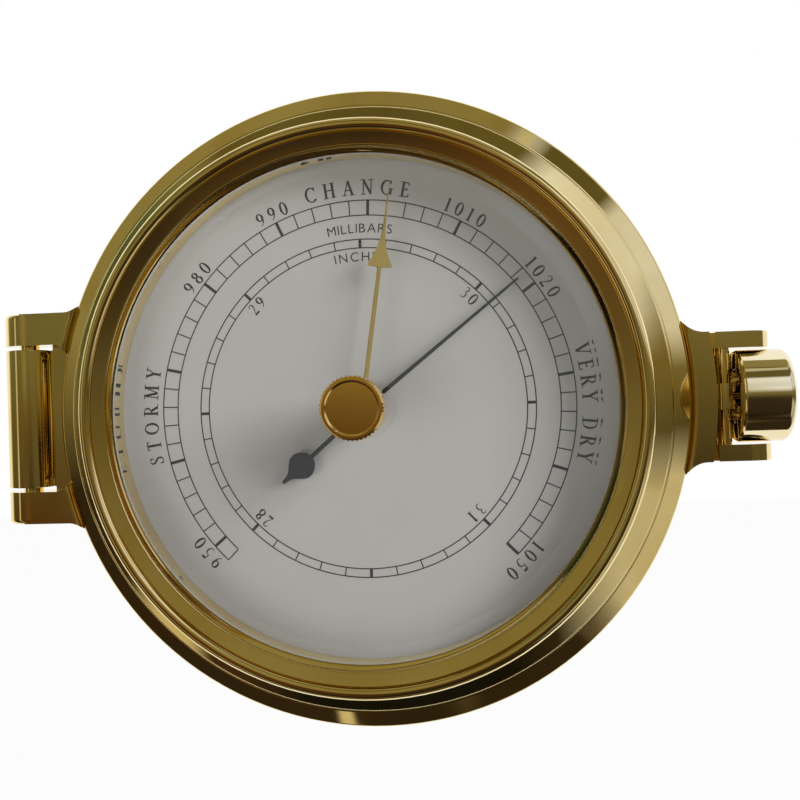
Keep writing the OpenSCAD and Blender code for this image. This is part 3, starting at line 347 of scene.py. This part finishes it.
# turned brass: what differs from brassSet, such as the axis that it was turned round
turnedFinish = {
    "faceBrass": {},
    "pinBrass": {"axis": "Z", "centre": (-74.3, -26.3, 0)},
    "latchBrass": {"axis": "Z", "centre": (73.1, -26.3, 0)},
    "nutBrass": {"axis": "X", "centre": (0, -26.3, 0), "colour": (0.90, 0.80, 0.55),
                 "deep": (0.82, 0.68, 0.38)},
    "knobBrass": {"colour": (0.94, 0.66, 0.28), "deep": (0.88, 0.52, 0.17)},
}
plainFinish = {
    "movementBrass": {"colours": ((0.66, 0.53, 0.26), (0.60, 0.46, 0.20)), "rough": 0.25, "metal": 1.0},
    "handBrass": {"colours": ((0.38, 0.27, 0.07), (0.29, 0.20, 0.045)), "rough": 0.2, "metal": 1.0},
    "steel": {"colours": ((0.62, 0.62, 0.63), (0.52, 0.52, 0.54)), "rough": 0.22, "metal": 1.0},
    "spunMetal": {"colours": ((0.72, 0.72, 0.73), (0.62, 0.62, 0.64)), "rough": 0.3, "metal": 1.0,
                  "scale": 120.0},
    "blackHand": {"colours": ((0.012, 0.015, 0.020), (0.008, 0.010, 0.013)), "rough": 0.42, "gloss": 0.12},
    # the dial is white; its colour here is a darker grey, painted shade that darkens the whole dial
    "dialShadedGrey": {"colours": ((0.465, 0.436, 0.430), (0.445, 0.418, 0.412)), "rough": 0.55, "scale": 900.0},
    "dialInk": {"colours": ((0.016, 0.014, 0.013), (0.010, 0.009, 0.008)), "rough": 0.6, "scale": 900.0,
                "gloss": 0.12},
    "rubber": {"colours": ((0.02, 0.02, 0.02), (0.03, 0.03, 0.03)), "rough": 0.7},
}
finishes = {name: turnedBrass(name, {**brassSet, **look}) for name, look in turnedFinish.items()}
finishes.update({name: plainPaint(name, **look) for name, look in plainFinish.items()})
finishes["glass"] = clearGlass("glass")
print("finishes mixed")


# how a copied piece is made ready: merging distance, angles that count as flat and as sharp
readySet = {"merge": 0.0005, "flat": 0.3, "sharp": 35, "bevelSteps": 3}


def coat(piece, finish):
    piece.data.materials.clear()
    piece.data.materials.append(finishes[finish])


def finishedCopy(node, name, finish, edge):
    source = frame["nodes"][node]
    makeActive(source)
    bpy.ops.object.duplicate()
    piece = bpy.context.object
    body = piece["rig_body"]
    piece.name = name
    piece.parent = None
    del piece["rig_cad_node"]
    bpy.ops.object.mode_set(mode="EDIT")
    bpy.ops.mesh.select_all(action="SELECT")
    bpy.ops.mesh.customdata_custom_splitnormals_clear()
    bpy.ops.mesh.remove_doubles(threshold=readySet["merge"] * mm)
    bpy.ops.mesh.dissolve_limited(angle_limit=math.radians(readySet["flat"]))
    bpy.ops.object.mode_set(mode="OBJECT")
    if edge:
        bevel = piece.modifiers.new("softEdge", "BEVEL")
        bevel.width = edge * mm
        bevel.segments = readySet["bevelSteps"]
        bevel.limit_method = "ANGLE"
        bevel.angle_limit = math.radians(readySet["sharp"])
        bpy.ops.object.modifier_apply(modifier="softEdge")
    bpy.ops.object.shade_smooth_by_angle(angle=math.radians(readySet["sharp"]))
    piece.modifiers.new("flatFaces", "WEIGHTED_NORMAL").keep_sharp = True
    bpy.ops.object.modifier_apply(modifier="flatFaces")
    coat(piece, finish)
    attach(piece, body)
    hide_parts(node)


# each node that gets a finer copy: the copy's name, its finish and the width of its softened edges
copySet = {
    "case_body": ("caseCup", "faceBrass", 0.2), "hinge_arm": ("hingeBarrel", "pinBrass", 0.3),
    "latch_fork": ("latchEars", "latchBrass", 0.35), "hinge_pin": ("hingePin", "pinBrass", 0.2),
    "latch_pin": ("latchPin", "latchBrass", 0.15), "bezel_ring": ("bezelFront", "faceBrass", 0.12),
    "locking_nut": ("lockingNut", "nutBrass", 0.1), "swing_bolt": ("swingBolt", "nutBrass", 0.1),
    "set_knob": ("setKnob", "knobBrass", 0.05), "spindle_bush": ("spindleBush", "faceBrass", 0.05),
    "hand_boss": ("handBoss", "blackHand", 0.05), "dial_plate": ("dialPlate", "dialShadedGrey", 0.0),
    "movement_drum": ("movementDrum", "spunMetal", 0.1), "glass_gasket": ("glassGasket", "rubber", 0.0),
}
for node, (name, finish, edge) in copySet.items():
    finishedCopy(node, name, finish, edge)

# the ring behind the glass: a thin polished wall from the dial to the lip, with a rim that holds it
ringSet = {"inner": 50.45, "outer": 51.2, "rim": 55.55, "foot": 30.1, "seat": 34.2, "face": 36.1,
           "top": 39.35, "step": 0.1, "sharp": 30}
# the glass: its centre hole, its edge, its two faces, and where its bevel begins and ends
glassSet = {"hole": 2.95, "edge": 50.5, "back": 36.93, "front": 40.12, "bevelFrom": 46.8, "bevelTo": 39.38,
            "sharp": 5}
turnSet = {"sides": 192, "merge": 0.002}


def ringPoints(look):
    step = look["step"]
    return [(look["inner"], look["foot"]), (look["inner"], look["seat"] - 3 * step),
            (look["inner"] + step, look["seat"] - step), (look["inner"] + step, look["top"]),
            (look["outer"], look["top"]), (look["outer"], look["face"]), (look["rim"], look["face"]),
            (look["rim"], look["seat"]), (look["outer"] + 2 * step, look["seat"]),
            (look["outer"], look["seat"] - 2 * step), (look["outer"], look["foot"])]


def glassPoints(look):
    return [(look["hole"], look["back"]), (look["edge"], look["back"]), (look["edge"], look["bevelTo"]),
            (look["bevelFrom"], look["front"]), (look["hole"], look["front"])]


def turnPiece(name, node, finish, points, sharp):
    # a turned piece that stands for a node of the frame; a point is a radius and a depth from the wall
    clearSelection()
    bpy.ops.mesh.primitive_circle_add(vertices=turnSet["sides"], radius=points[0][0] * mm,
                                      rotation=(math.radians(90), 0, 0), location=(0, -points[0][1] * mm, 0))
    piece = bpy.context.object
    piece.name = name
    bpy.ops.object.transform_apply()
    bpy.ops.object.mode_set(mode="EDIT")
    bpy.ops.mesh.select_all(action="SELECT")
    for (fromRadius, fromDepth), (radius, depth) in zip(points, points[1:] + points[:1]):
        bpy.ops.mesh.extrude_edges_move()
        grow = radius / fromRadius
        bpy.ops.transform.resize(value=(grow, 1, grow), center_override=(0, -fromDepth * mm, 0))
        bpy.ops.transform.translate(value=(0, (fromDepth - depth) * mm, 0))
    bpy.ops.mesh.select_all(action="SELECT")
    bpy.ops.mesh.remove_doubles(threshold=turnSet["merge"] * mm)
    bpy.ops.mesh.normals_make_consistent(inside=False)
    bpy.ops.object.mode_set(mode="OBJECT")
    bpy.ops.object.shade_smooth_by_angle(angle=math.radians(sharp))
    coat(piece, finish)
    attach(piece, "front")
    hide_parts(node)


turnPiece("retainingRing", "retaining_ring", "faceBrass", ringPoints(ringSet), ringSet["sharp"])
turnPiece("frontGlass", "glass", "glass", glassPoints(glassSet), glassSet["sharp"])

# the hands: a hub and flat blades, each at an angle clockwise from the top and drawn from the middle
# outward as (distance, half width); the ridge is how far a blade's middle stands over its edges
handSet = {
    "setHand": {
        "node": "set_hand", "body": "set_knob", "finish": "handBrass", "level": 34.63, "thick": 0.4,
        "ridge": 0.3, "hub": 3.0,
        "blades": {8.84: ((1.2, 0.50), (12, 0.47), (28.3, 0.43), (28.5, 0.6), (28.6, 2.45), (28.9, 2.50),
                          (30.0, 1.92), (31.1, 1.44), (32.2, 1.05), (33.4, 0.75), (34.5, 0.52),
                          (36.2, 0.33), (39.0, 0.24), (45.7, 0.06))}},
    "pressureHand": {
        "node": "pressure_hand", "body": "pointer", "finish": "blackHand", "level": 31.93, "thick": 0.3,
        "ridge": 0.08, "hub": 2.2,
        "blades": {51.9: ((0.85, 0.46), (20, 0.36), (40.4, 0.24), (40.8, 0.05)),
                   229.3: ((0.85, 0.46), (14.7, 0.44), (14.85, 0.95), (15.1, 1.40), (15.5, 1.90),
                           (16.1, 2.38), (16.8, 2.70), (17.5, 2.82), (18.2, 2.72), (18.9, 2.38),
                           (19.5, 1.85), (20.0, 1.32), (20.5, 0.90), (21.1, 0.60), (21.8, 0.46),
                           (22.6, 0.40), (22.8, 0.28))}},
}
# a blade of a smaller half width than fullRidge has a lower ridge
handEdge = {"fullRidge": 0.45, "hubSides": 64, "hubBevel": 0.08, "bevelSteps": 2, "sharp": 20}


def handBlade(look, sections):
    # a grid of three columns, laid on the sections, then given its thickness
    clearSelection()
    bpy.ops.mesh.primitive_grid_add(x_subdivisions=2, y_subdivisions=len(sections) - 1, size=1)
    blade = bpy.context.object
    rows = sorted({round(v.co.y, 4) for v in blade.data.vertices})
    edge = look["thick"] - look["ridge"]
    for vertex in blade.data.vertices:
        distance, half = sections[rows.index(round(vertex.co.y, 4))]
        side = round(vertex.co.x * 2)
        rise = look["ridge"] * min(1, half / handEdge["fullRidge"])
        vertex.co = (side * half, distance, edge + (rise if side == 0 else 0))
    bpy.ops.object.mode_set(mode="EDIT")
    bpy.ops.mesh.select_all(action="SELECT")
    bpy.ops.mesh.extrude_region_move()
    bpy.ops.transform.resize(value=(1, 1, 0), center_override=(0, 0, 0))
    bpy.ops.mesh.select_all(action="SELECT")
    bpy.ops.mesh.normals_make_consistent(inside=False)
    bpy.ops.object.mode_set(mode="OBJECT")
    return blade


def makeHand(name, look):
    parts = []
    for angle, sections in look["blades"].items():
        blade = handBlade(look, sections)
        blade.data.transform(Matrix.Rotation(math.radians(angle), 4, "Y")
                             @ Matrix.Translation((0, -look["level"] * mm, 0))
                             @ Matrix.Rotation(math.radians(90), 4, "X") @ Matrix.Scale(mm, 4))
        parts.append(blade)
    clearSelection()
    middle = look["level"] + look["thick"] / 2
    bpy.ops.mesh.primitive_cylinder_add(vertices=handEdge["hubSides"], radius=look["hub"] * mm,
                                        depth=look["thick"] * mm, location=(0, -middle * mm, 0),
                                        rotation=(math.radians(90), 0, 0))
    hub = bpy.context.object
    bpy.ops.object.transform_apply()
    bpy.ops.object.mode_set(mode="EDIT")
    bpy.ops.mesh.bevel(offset=handEdge["hubBevel"] * mm, segments=handEdge["bevelSteps"])
    bpy.ops.object.mode_set(mode="OBJECT")
    piece = joinAll(parts + [hub])
    piece.name = name
    bpy.ops.object.shade_smooth_by_angle(angle=math.radians(handEdge["sharp"]))
    coat(piece, look["finish"])
    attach(piece, look["body"])
    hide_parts(look["node"])


for name, look in handSet.items():
    makeHand(name, look)

# the pieces that stay as they come from the frame, by their material slot
slotFinish = {"movement_brass": "movementBrass", "screw_steel": "steel", "capsule_metal": "steel",
              "blued_steel": "blackHand", "brass": "faceBrass"}
slots = {entry["node"]: entry["material_slot"] for entry in frame["record"]["subparts"]}
for node, piece in frame["nodes"].items():
    if not piece.hide_render:
        coat(piece, slotFinish[slots[node]])
print("frame pieces finished")


# the print stands on the dial plate; angles run clockwise from the top, in degrees. Ticks are bold at the
# tens of millibars and at the half inches, and lie a little higher than the arcs
dialSet = {
    "face": 29.5, "ink": 0.02, "tickLift": 1.2, "line": 0.25, "bold": 0.62,
    "zero": 1000, "turn": 2.39, "perMillibar": 2.6577, "first": 948, "last": 1050, "step": 2, "boldStep": 10,
    "inchTop": -0.18, "inchStep": 9, "inchBold": 5, "outerBand": (39.89, 43.0), "innerBand": (33.14, 34.92),
    "arcStep": 1.5, "fewestSteps": 24, "merge": 0.001,
}


def millibarAngle(value):
    return dialSet["turn"] + (value - dialSet["zero"]) * dialSet["perMillibar"]


def onDial(angle, height, lift=1.0):
    # from a drawing that lies flat to its place on the dial
    return (Matrix.Rotation(math.radians(angle), 4, "Y")
            @ Matrix.Translation((0, -(dialSet["face"] + dialSet["ink"] * lift) * mm, height * mm))
            @ Matrix.Rotation(math.radians(90), 4, "X"))


def inked(piece, name):
    piece.name = name
    coat(piece, "dialInk")
    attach(piece, "case")


def printedArc(radius, start, end):
    # the first short edge of the line, spun about the middle
    clearSelection()
    bpy.ops.mesh.primitive_plane_add(size=dialSet["line"] * mm)
    piece = bpy.context.object
    piece.data.transform(onDial(start, radius))
    bpy.ops.object.mode_set(mode="EDIT")
    bpy.ops.mesh.select_all(action="DESELECT")
    bpy.ops.object.mode_set(mode="OBJECT")
    away = Matrix.Rotation(math.radians(start), 4, "Y") @ Vector((1, 0, 0))
    for vertex in piece.data.vertices:
        vertex.select = vertex.co.dot(away) < 0
    bpy.ops.object.mode_set(mode="EDIT")
    bpy.ops.mesh.delete(type="VERT")
    bpy.ops.mesh.select_all(action="SELECT")
    bpy.ops.mesh.spin(steps=max(dialSet["fewestSteps"], round((end - start) / dialSet["arcStep"])),
                      angle=math.radians(end - start), center=(0, 0, 0), axis=(0, -1, 0))
    bpy.ops.mesh.select_all(action="SELECT")
    bpy.ops.mesh.remove_doubles(threshold=dialSet["merge"] * mm)
    bpy.ops.object.mode_set(mode="OBJECT")
    return piece


def printedTick(low, high, angle, width):
    clearSelection()
    bpy.ops.mesh.primitive_plane_add(size=mm)
    piece = bpy.context.object
    piece.data.transform(onDial(angle, (low + high) / 2, dialSet["tickLift"])
                         @ Matrix.Diagonal((width, high - low, 1, 1)))
    return piece


start, end = millibarAngle(dialSet["first"]), millibarAngle(dialSet["last"])
marks = [printedArc(radius, start, end) for radius in dialSet["outerBand"]]
marks += [printedArc(radius, 0, 360) for radius in dialSet["innerBand"]]
for value in range(dialSet["first"], dialSet["last"] + 1, dialSet["step"]):
    wide = dialSet["bold"] if value % dialSet["boldStep"] == 0 else dialSet["line"]
    marks.append(printedTick(*dialSet["outerBand"], millibarAngle(value), wide))
for i in range(360 // dialSet["inchStep"]):
    wide = dialSet["bold"] if i % dialSet["inchBold"] == 0 else dialSet["line"]
    marks.append(printedTick(*dialSet["innerBand"], dialSet["inchTop"] + dialSet["inchStep"] * i, wide))
inked(joinAll(marks), "dialScales")
print("scales drawn")

# book letters of thick and thin pen strokes, one cap height tall. A letter is its width, its strokes and
# the feet of its stems (x, y). A stroke is "v", a thick line, or "b", a thin one, from (x, y) to (x, y);
# "s", a row of (x, y, width); or "o", an oval of (middle, half sizes, from and to angle). Each stroke lies
# a lift higher than the one before, so that no two faces share a plane
penSet = {"thick": 0.168, "thin": 0.08, "foot": 0.09, "serif": 0.06, "steps": 24, "slant": 0.25, "swell": 1.5,
          "curveSteps": 3, "lift": 0.0012, "closed": 0.001}
letterSet = {
    "S": (0.54, [
        ("s", (0.43, 0.80, .05), (0.38, 0.93, .05), (0.26, 0.97, .05), (0.13, 0.90, .10), (0.10, 0.76, .12),
         (0.17, 0.63, .13), (0.31, 0.52, .14), (0.42, 0.40, .13), (0.45, 0.25, .12), (0.39, 0.10, .10),
         (0.26, 0.02, .05), (0.13, 0.06, .05), (0.06, 0.20, .05)),
        ("b", 0.44, 0.72, 0.44, 0.97), ("b", 0.05, 0.28, 0.05, 0.03)], []),
    "T": (0.62, [("b", 0.04, 0.96, 0.58, 0.96), ("b", 0.05, 0.98, 0.03, 0.80), ("b", 0.57, 0.98, 0.59, 0.80),
                 ("v", 0.31, 0, 0.31, 0.97)], [(0.31, 0)]),
    "O": (0.80, [("o", 0.40, 0.49, 0.34, 0.48, 0, 360)], []),
    "R": (0.70, [("v", 0.17, 0, 0.17, 0.98), ("s", (0.17, 0.95, .05), (0.34, 0.95, .05), (0.48, 0.88, .10),
                 (0.53, 0.73, .13), (0.47, 0.58, .10), (0.34, 0.50, .05), (0.17, 0.50, .05)),
                 ("v", 0.34, 0.50, 0.62, 0.02)], [(0.17, 0), (0.13, 0.98), (0.66, 0.01)]),
    "M": (0.96, [("b", 0.13, 0, 0.17, 0.97), ("v", 0.18, 0.97, 0.46, 0.04), ("b", 0.47, 0.04, 0.76, 0.97),
                 ("v", 0.77, 0.97, 0.81, 0)], [(0.13, 0), (0.12, 0.98), (0.81, 0), (0.82, 0.98)]),
    "Y": (0.68, [("v", 0.08, 0.97, 0.34, 0.46), ("b", 0.60, 0.97, 0.35, 0.46), ("v", 0.34, 0, 0.34, 0.48)],
          [(0.34, 0), (0.08, 0.98), (0.60, 0.98)]),
    "C": (0.74, [("o", 0.42, 0.49, 0.35, 0.48, 42, 318), ("b", 0.68, 0.98, 0.68, 0.72)], []),
    "H": (0.84, [("v", 0.17, 0, 0.17, 0.98), ("v", 0.67, 0, 0.67, 0.98), ("b", 0.17, 0.51, 0.67, 0.51)],
          [(0.17, 0), (0.17, 0.98), (0.67, 0), (0.67, 0.98)]),
    "A": (0.76, [("b", 0.10, 0, 0.37, 0.98), ("v", 0.37, 0.98, 0.64, 0), ("b", 0.20, 0.33, 0.54, 0.33)],
          [(0.10, 0), (0.65, 0)]),
    "N": (0.82, [("b", 0.15, 0, 0.15, 0.97), ("v", 0.15, 0.95, 0.66, 0.03), ("b", 0.67, 0.02, 0.67, 0.97)],
          [(0.15, 0), (0.11, 0.98), (0.67, 0.98)]),
    "G": (0.82, [("o", 0.42, 0.49, 0.35, 0.48, 42, 312), ("b", 0.68, 0.98, 0.68, 0.74),
                 ("v", 0.68, 0.04, 0.68, 0.42)], [(0.68, 0.43)]),
    "E": (0.62, [("v", 0.17, 0, 0.17, 0.98), ("b", 0.17, 0.96, 0.52, 0.96), ("b", 0.52, 0.98, 0.54, 0.78),
                 ("b", 0.17, 0.51, 0.43, 0.51), ("b", 0.43, 0.60, 0.43, 0.42), ("b", 0.17, 0.02, 0.55, 0.02),
                 ("b", 0.55, 0.0, 0.58, 0.22)], [(0.12, 0), (0.12, 0.98)]),
    "V": (0.72, [("v", 0.08, 0.97, 0.37, 0.02), ("b", 0.64, 0.97, 0.37, 0.02)], [(0.08, 0.98), (0.64, 0.98)]),
    "D": (0.80, [("v", 0.17, 0, 0.17, 0.98), ("s", (0.17, 0.96, .05), (0.38, 0.95, .05), (0.58, 0.84, .10),
                 (0.68, 0.50, .14), (0.58, 0.15, .10), (0.38, 0.03, .05), (0.17, 0.02, .05))],
          [(0.12, 0), (0.12, 0.98)]),
    "0": (0.56, [("o", 0.28, 0.49, 0.21, 0.47, 0, 360)], []),
    "1": (0.42, [("v", 0.22, 0, 0.22, 0.97), ("b", 0.22, 0.95, 0.08, 0.85)], [(0.22, 0)]),
    "2": (0.56, [
        ("s", (0.08, 0.76, .06), (0.14, 0.91, .07), (0.27, 0.96, .07), (0.40, 0.89, .11), (0.43, 0.74, .12),
         (0.36, 0.53, .09), (0.21, 0.28, .06), (0.07, 0.06, .05)), ("v", 0.06, 0.05, 0.50, 0.05)], []),
    "3": (0.54, [
        ("s", (0.10, 0.84, .05), (0.22, 0.96, .06), (0.36, 0.91, .09), (0.40, 0.76, .11), (0.32, 0.60, .07),
         (0.19, 0.54, .05)),
        ("s", (0.19, 0.54, .05), (0.36, 0.48, .08), (0.43, 0.30, .12), (0.37, 0.10, .09), (0.22, 0.02, .06),
         (0.07, 0.08, .06))], []),
    "5": (0.54, [("v", 0.15, 0.93, 0.45, 0.95), ("b", 0.15, 0.94, 0.13, 0.56), (
        "s", (0.13, 0.56, .04), (0.28, 0.60, .06), (0.41, 0.49, .11), (0.43, 0.29, .12), (0.35, 0.10, .09),
        (0.20, 0.02, .06), (0.06, 0.08, .06))], []),
    "8": (0.56, [("o", 0.28, 0.74, 0.155, 0.205, 0, 360), ("o", 0.28, 0.26, 0.20, 0.24, 0, 360)], []),
    "9": (0.56, [("o", 0.28, 0.68, 0.195, 0.27, 0, 360), (
        "s", (0.47, 0.68, .12), (0.45, 0.44, .11), (0.32, 0.16, .07), (0.13, 0.02, .04))], []),
    " ": (0.34, [], []),
}


def ovalRow(x, y, halfWide, halfHigh, low, high):
    row = []
    for i in range(penSet["steps"] + 1):
        a = math.radians(low + (high - low) * i / penSet["steps"])
        press = abs(math.cos(a + penSet["slant"])) ** penSet["swell"]
        width = penSet["thin"] + (penSet["thick"] - penSet["thin"]) * press
        row.append((x + halfWide * math.cos(a), y + halfHigh * math.sin(a), width))
    return row


def roundedRow(row):
    # a rounder row through the same points
    ends = [row[0]] + list(row) + [row[-1]]
    rounder = []
    for p0, p1, p2, p3 in zip(ends, ends[1:], ends[2:], ends[3:]):
        for i in range(penSet["curveSteps"]):
            t = i / penSet["curveSteps"]
            rounder.append(tuple(
                0.5 * (2 * b + (c - a) * t + (2 * a - 5 * b + 4 * c - d) * t * t
                       + (3 * b - a - 3 * c + d) * t ** 3) for a, b, c, d in zip(p0, p1, p2, p3)))
    return rounder + [row[-1]]


def strokeRows(letter):
    # every stroke of a letter as a row of (x, y, width)
    strokes, feet = letterSet[letter][1:]
    rows = []
    for kind, *rest in strokes:
        if kind == "s":
            rows.append(roundedRow(rest))
        elif kind == "o":
            rows.append(ovalRow(*rest))
        else:
            thick = penSet["thick"] if kind == "v" else penSet["thin"]
            rows.append([(rest[0], rest[1], thick), (rest[2], rest[3], thick)])
    reach = penSet["foot"] + penSet["thick"] / 2
    for x, y in feet:
        rows.append([(x - reach, y, penSet["serif"]), (x + reach, y, penSet["serif"])])
    return rows


def penStroke(row, lift):
    # one stroke as a filled flat curve
    sides = []
    for i, (x, y, width) in enumerate(row):
        before, after = row[max(i - 1, 0)], row[min(i + 1, len(row) - 1)]
        along = Vector((after[0] - before[0], after[1] - before[1])).normalized()
        sides.append((Vector((x, y)), Vector((-along.y, along.x)) * width / 2))
    if (Vector(row[0][:2]) - Vector(row[-1][:2])).length < penSet["closed"]:
        rims = [[spot + side for spot, side in sides[:-1]], [spot - side for spot, side in sides[:-1]]]
    else:
        rims = [[spot + side for spot, side in sides] + [spot - side for spot, side in reversed(sides)]]
    shape = bpy.data.curves.new("penStroke", "CURVE")
    shape.dimensions = "2D"
    shape.fill_mode = "BOTH"
    for rim in rims:
        line = shape.splines.new("POLY")
        line.points.add(len(rim) - 1)
        for point, (x, y) in zip(line.points, rim):
            point.co = (x, y, 0, 1)
        line.use_cyclic_u = True
    piece = bpy.data.objects.new("penStroke", shape)
    bpy.context.collection.objects.link(piece)
    makeActive(piece)
    bpy.ops.object.convert(target="MESH")
    piece = bpy.context.object
    piece.data.transform(Matrix.Translation((0, 0, lift)))
    return piece


def bookLetter(letter):
    strokes = [penStroke(row, penSet["lift"] * i) for i, row in enumerate(strokeRows(letter))]
    return joinAll(strokes), letterSet[letter][0]


plainSet = {"size": 1.37, "side": 0.10}    # brings the built-in letters to a cap height of one


def plainLetter(letter):
    clearSelection()
    bpy.ops.object.text_add()
    item = bpy.context.object
    item.data.body = letter
    item.data.size = plainSet["size"]
    bpy.ops.object.convert(target="MESH")
    item = bpy.context.object
    edges = [v.co.x for v in item.data.vertices]
    item.data.transform(Matrix.Translation((plainSet["side"] - min(edges), 0, 0)))
    return item, max(edges) - min(edges) + 2 * plainSet["side"]


def printWord(name, text, tall, base, start, end, letters):
    # letters of one cap height, spread evenly between two angles
    made = [(None, letterSet[" "][0]) if letter == " " else letters(letter) for letter in text]
    middle = base + tall / 2
    wide = sum(advance for piece, advance in made) * tall
    gap = (math.radians(end - start) * middle - wide) / (len(text) - 1)
    at = 0
    kept = []
    for piece, advance in made:
        if piece:
            turn = start + math.degrees((at + advance * tall / 2) / middle)
            piece.data.transform(onDial(turn, base) @ Matrix.Scale(tall * mm, 4)
                                 @ Matrix.Translation((-advance / 2, 0, 0)))
            kept.append(piece)
        at += advance * tall + gap
    inked(joinAll(kept), name)


# each word: its text, cap height, radius of its foot, first and last angle, and kind of letters
wordSet = {
    "wordStormy": ("STORMY", 3.0, 44.3, -103.2, -77.8, bookLetter),
    "wordChange": ("CHANGE", 3.05, 44.2, -14.3, 13.3, bookLetter),
    "wordDry": ("VERY DRY", 3.0, 44.2, 75.4, 105.5, bookLetter),
    "wordMillibars": ("MILLIBARS", 2.0, 36.3, -10.9, 10.6, plainLetter),
    "wordInches": ("INCHES", 2.0, 30.4, -10.5, 10.0, plainLetter),
}
numberSet = {"tall": 2.8, "base": 43.7, "half": {3: 4.4, 4: 5.7}}    # half the angle, by count of figures
for value in (950, 980, 990, 1010, 1020, 1050):
    text = str(value)
    middle = millibarAngle(value)
    half = numberSet["half"][len(text)]
    wordSet["number" + text] = (text, numberSet["tall"], numberSet["base"], middle - half, middle + half,
                                bookLetter)
inchSet = {"tall": 2.5, "base": 30.1, "half": 3.2, "first": -135, "each": 90}
for i, text in enumerate(("28", "29", "30", "31")):
    middle = dialSet["inchTop"] + inchSet["first"] + inchSet["each"] * i
    wordSet["inch" + text] = (text, inchSet["tall"], inchSet["base"], middle - inchSet["half"],
                              middle + inchSet["half"], bookLetter)
for name, word in wordSet.items():
    printWord(name, *word)
print("words and numbers drawn")
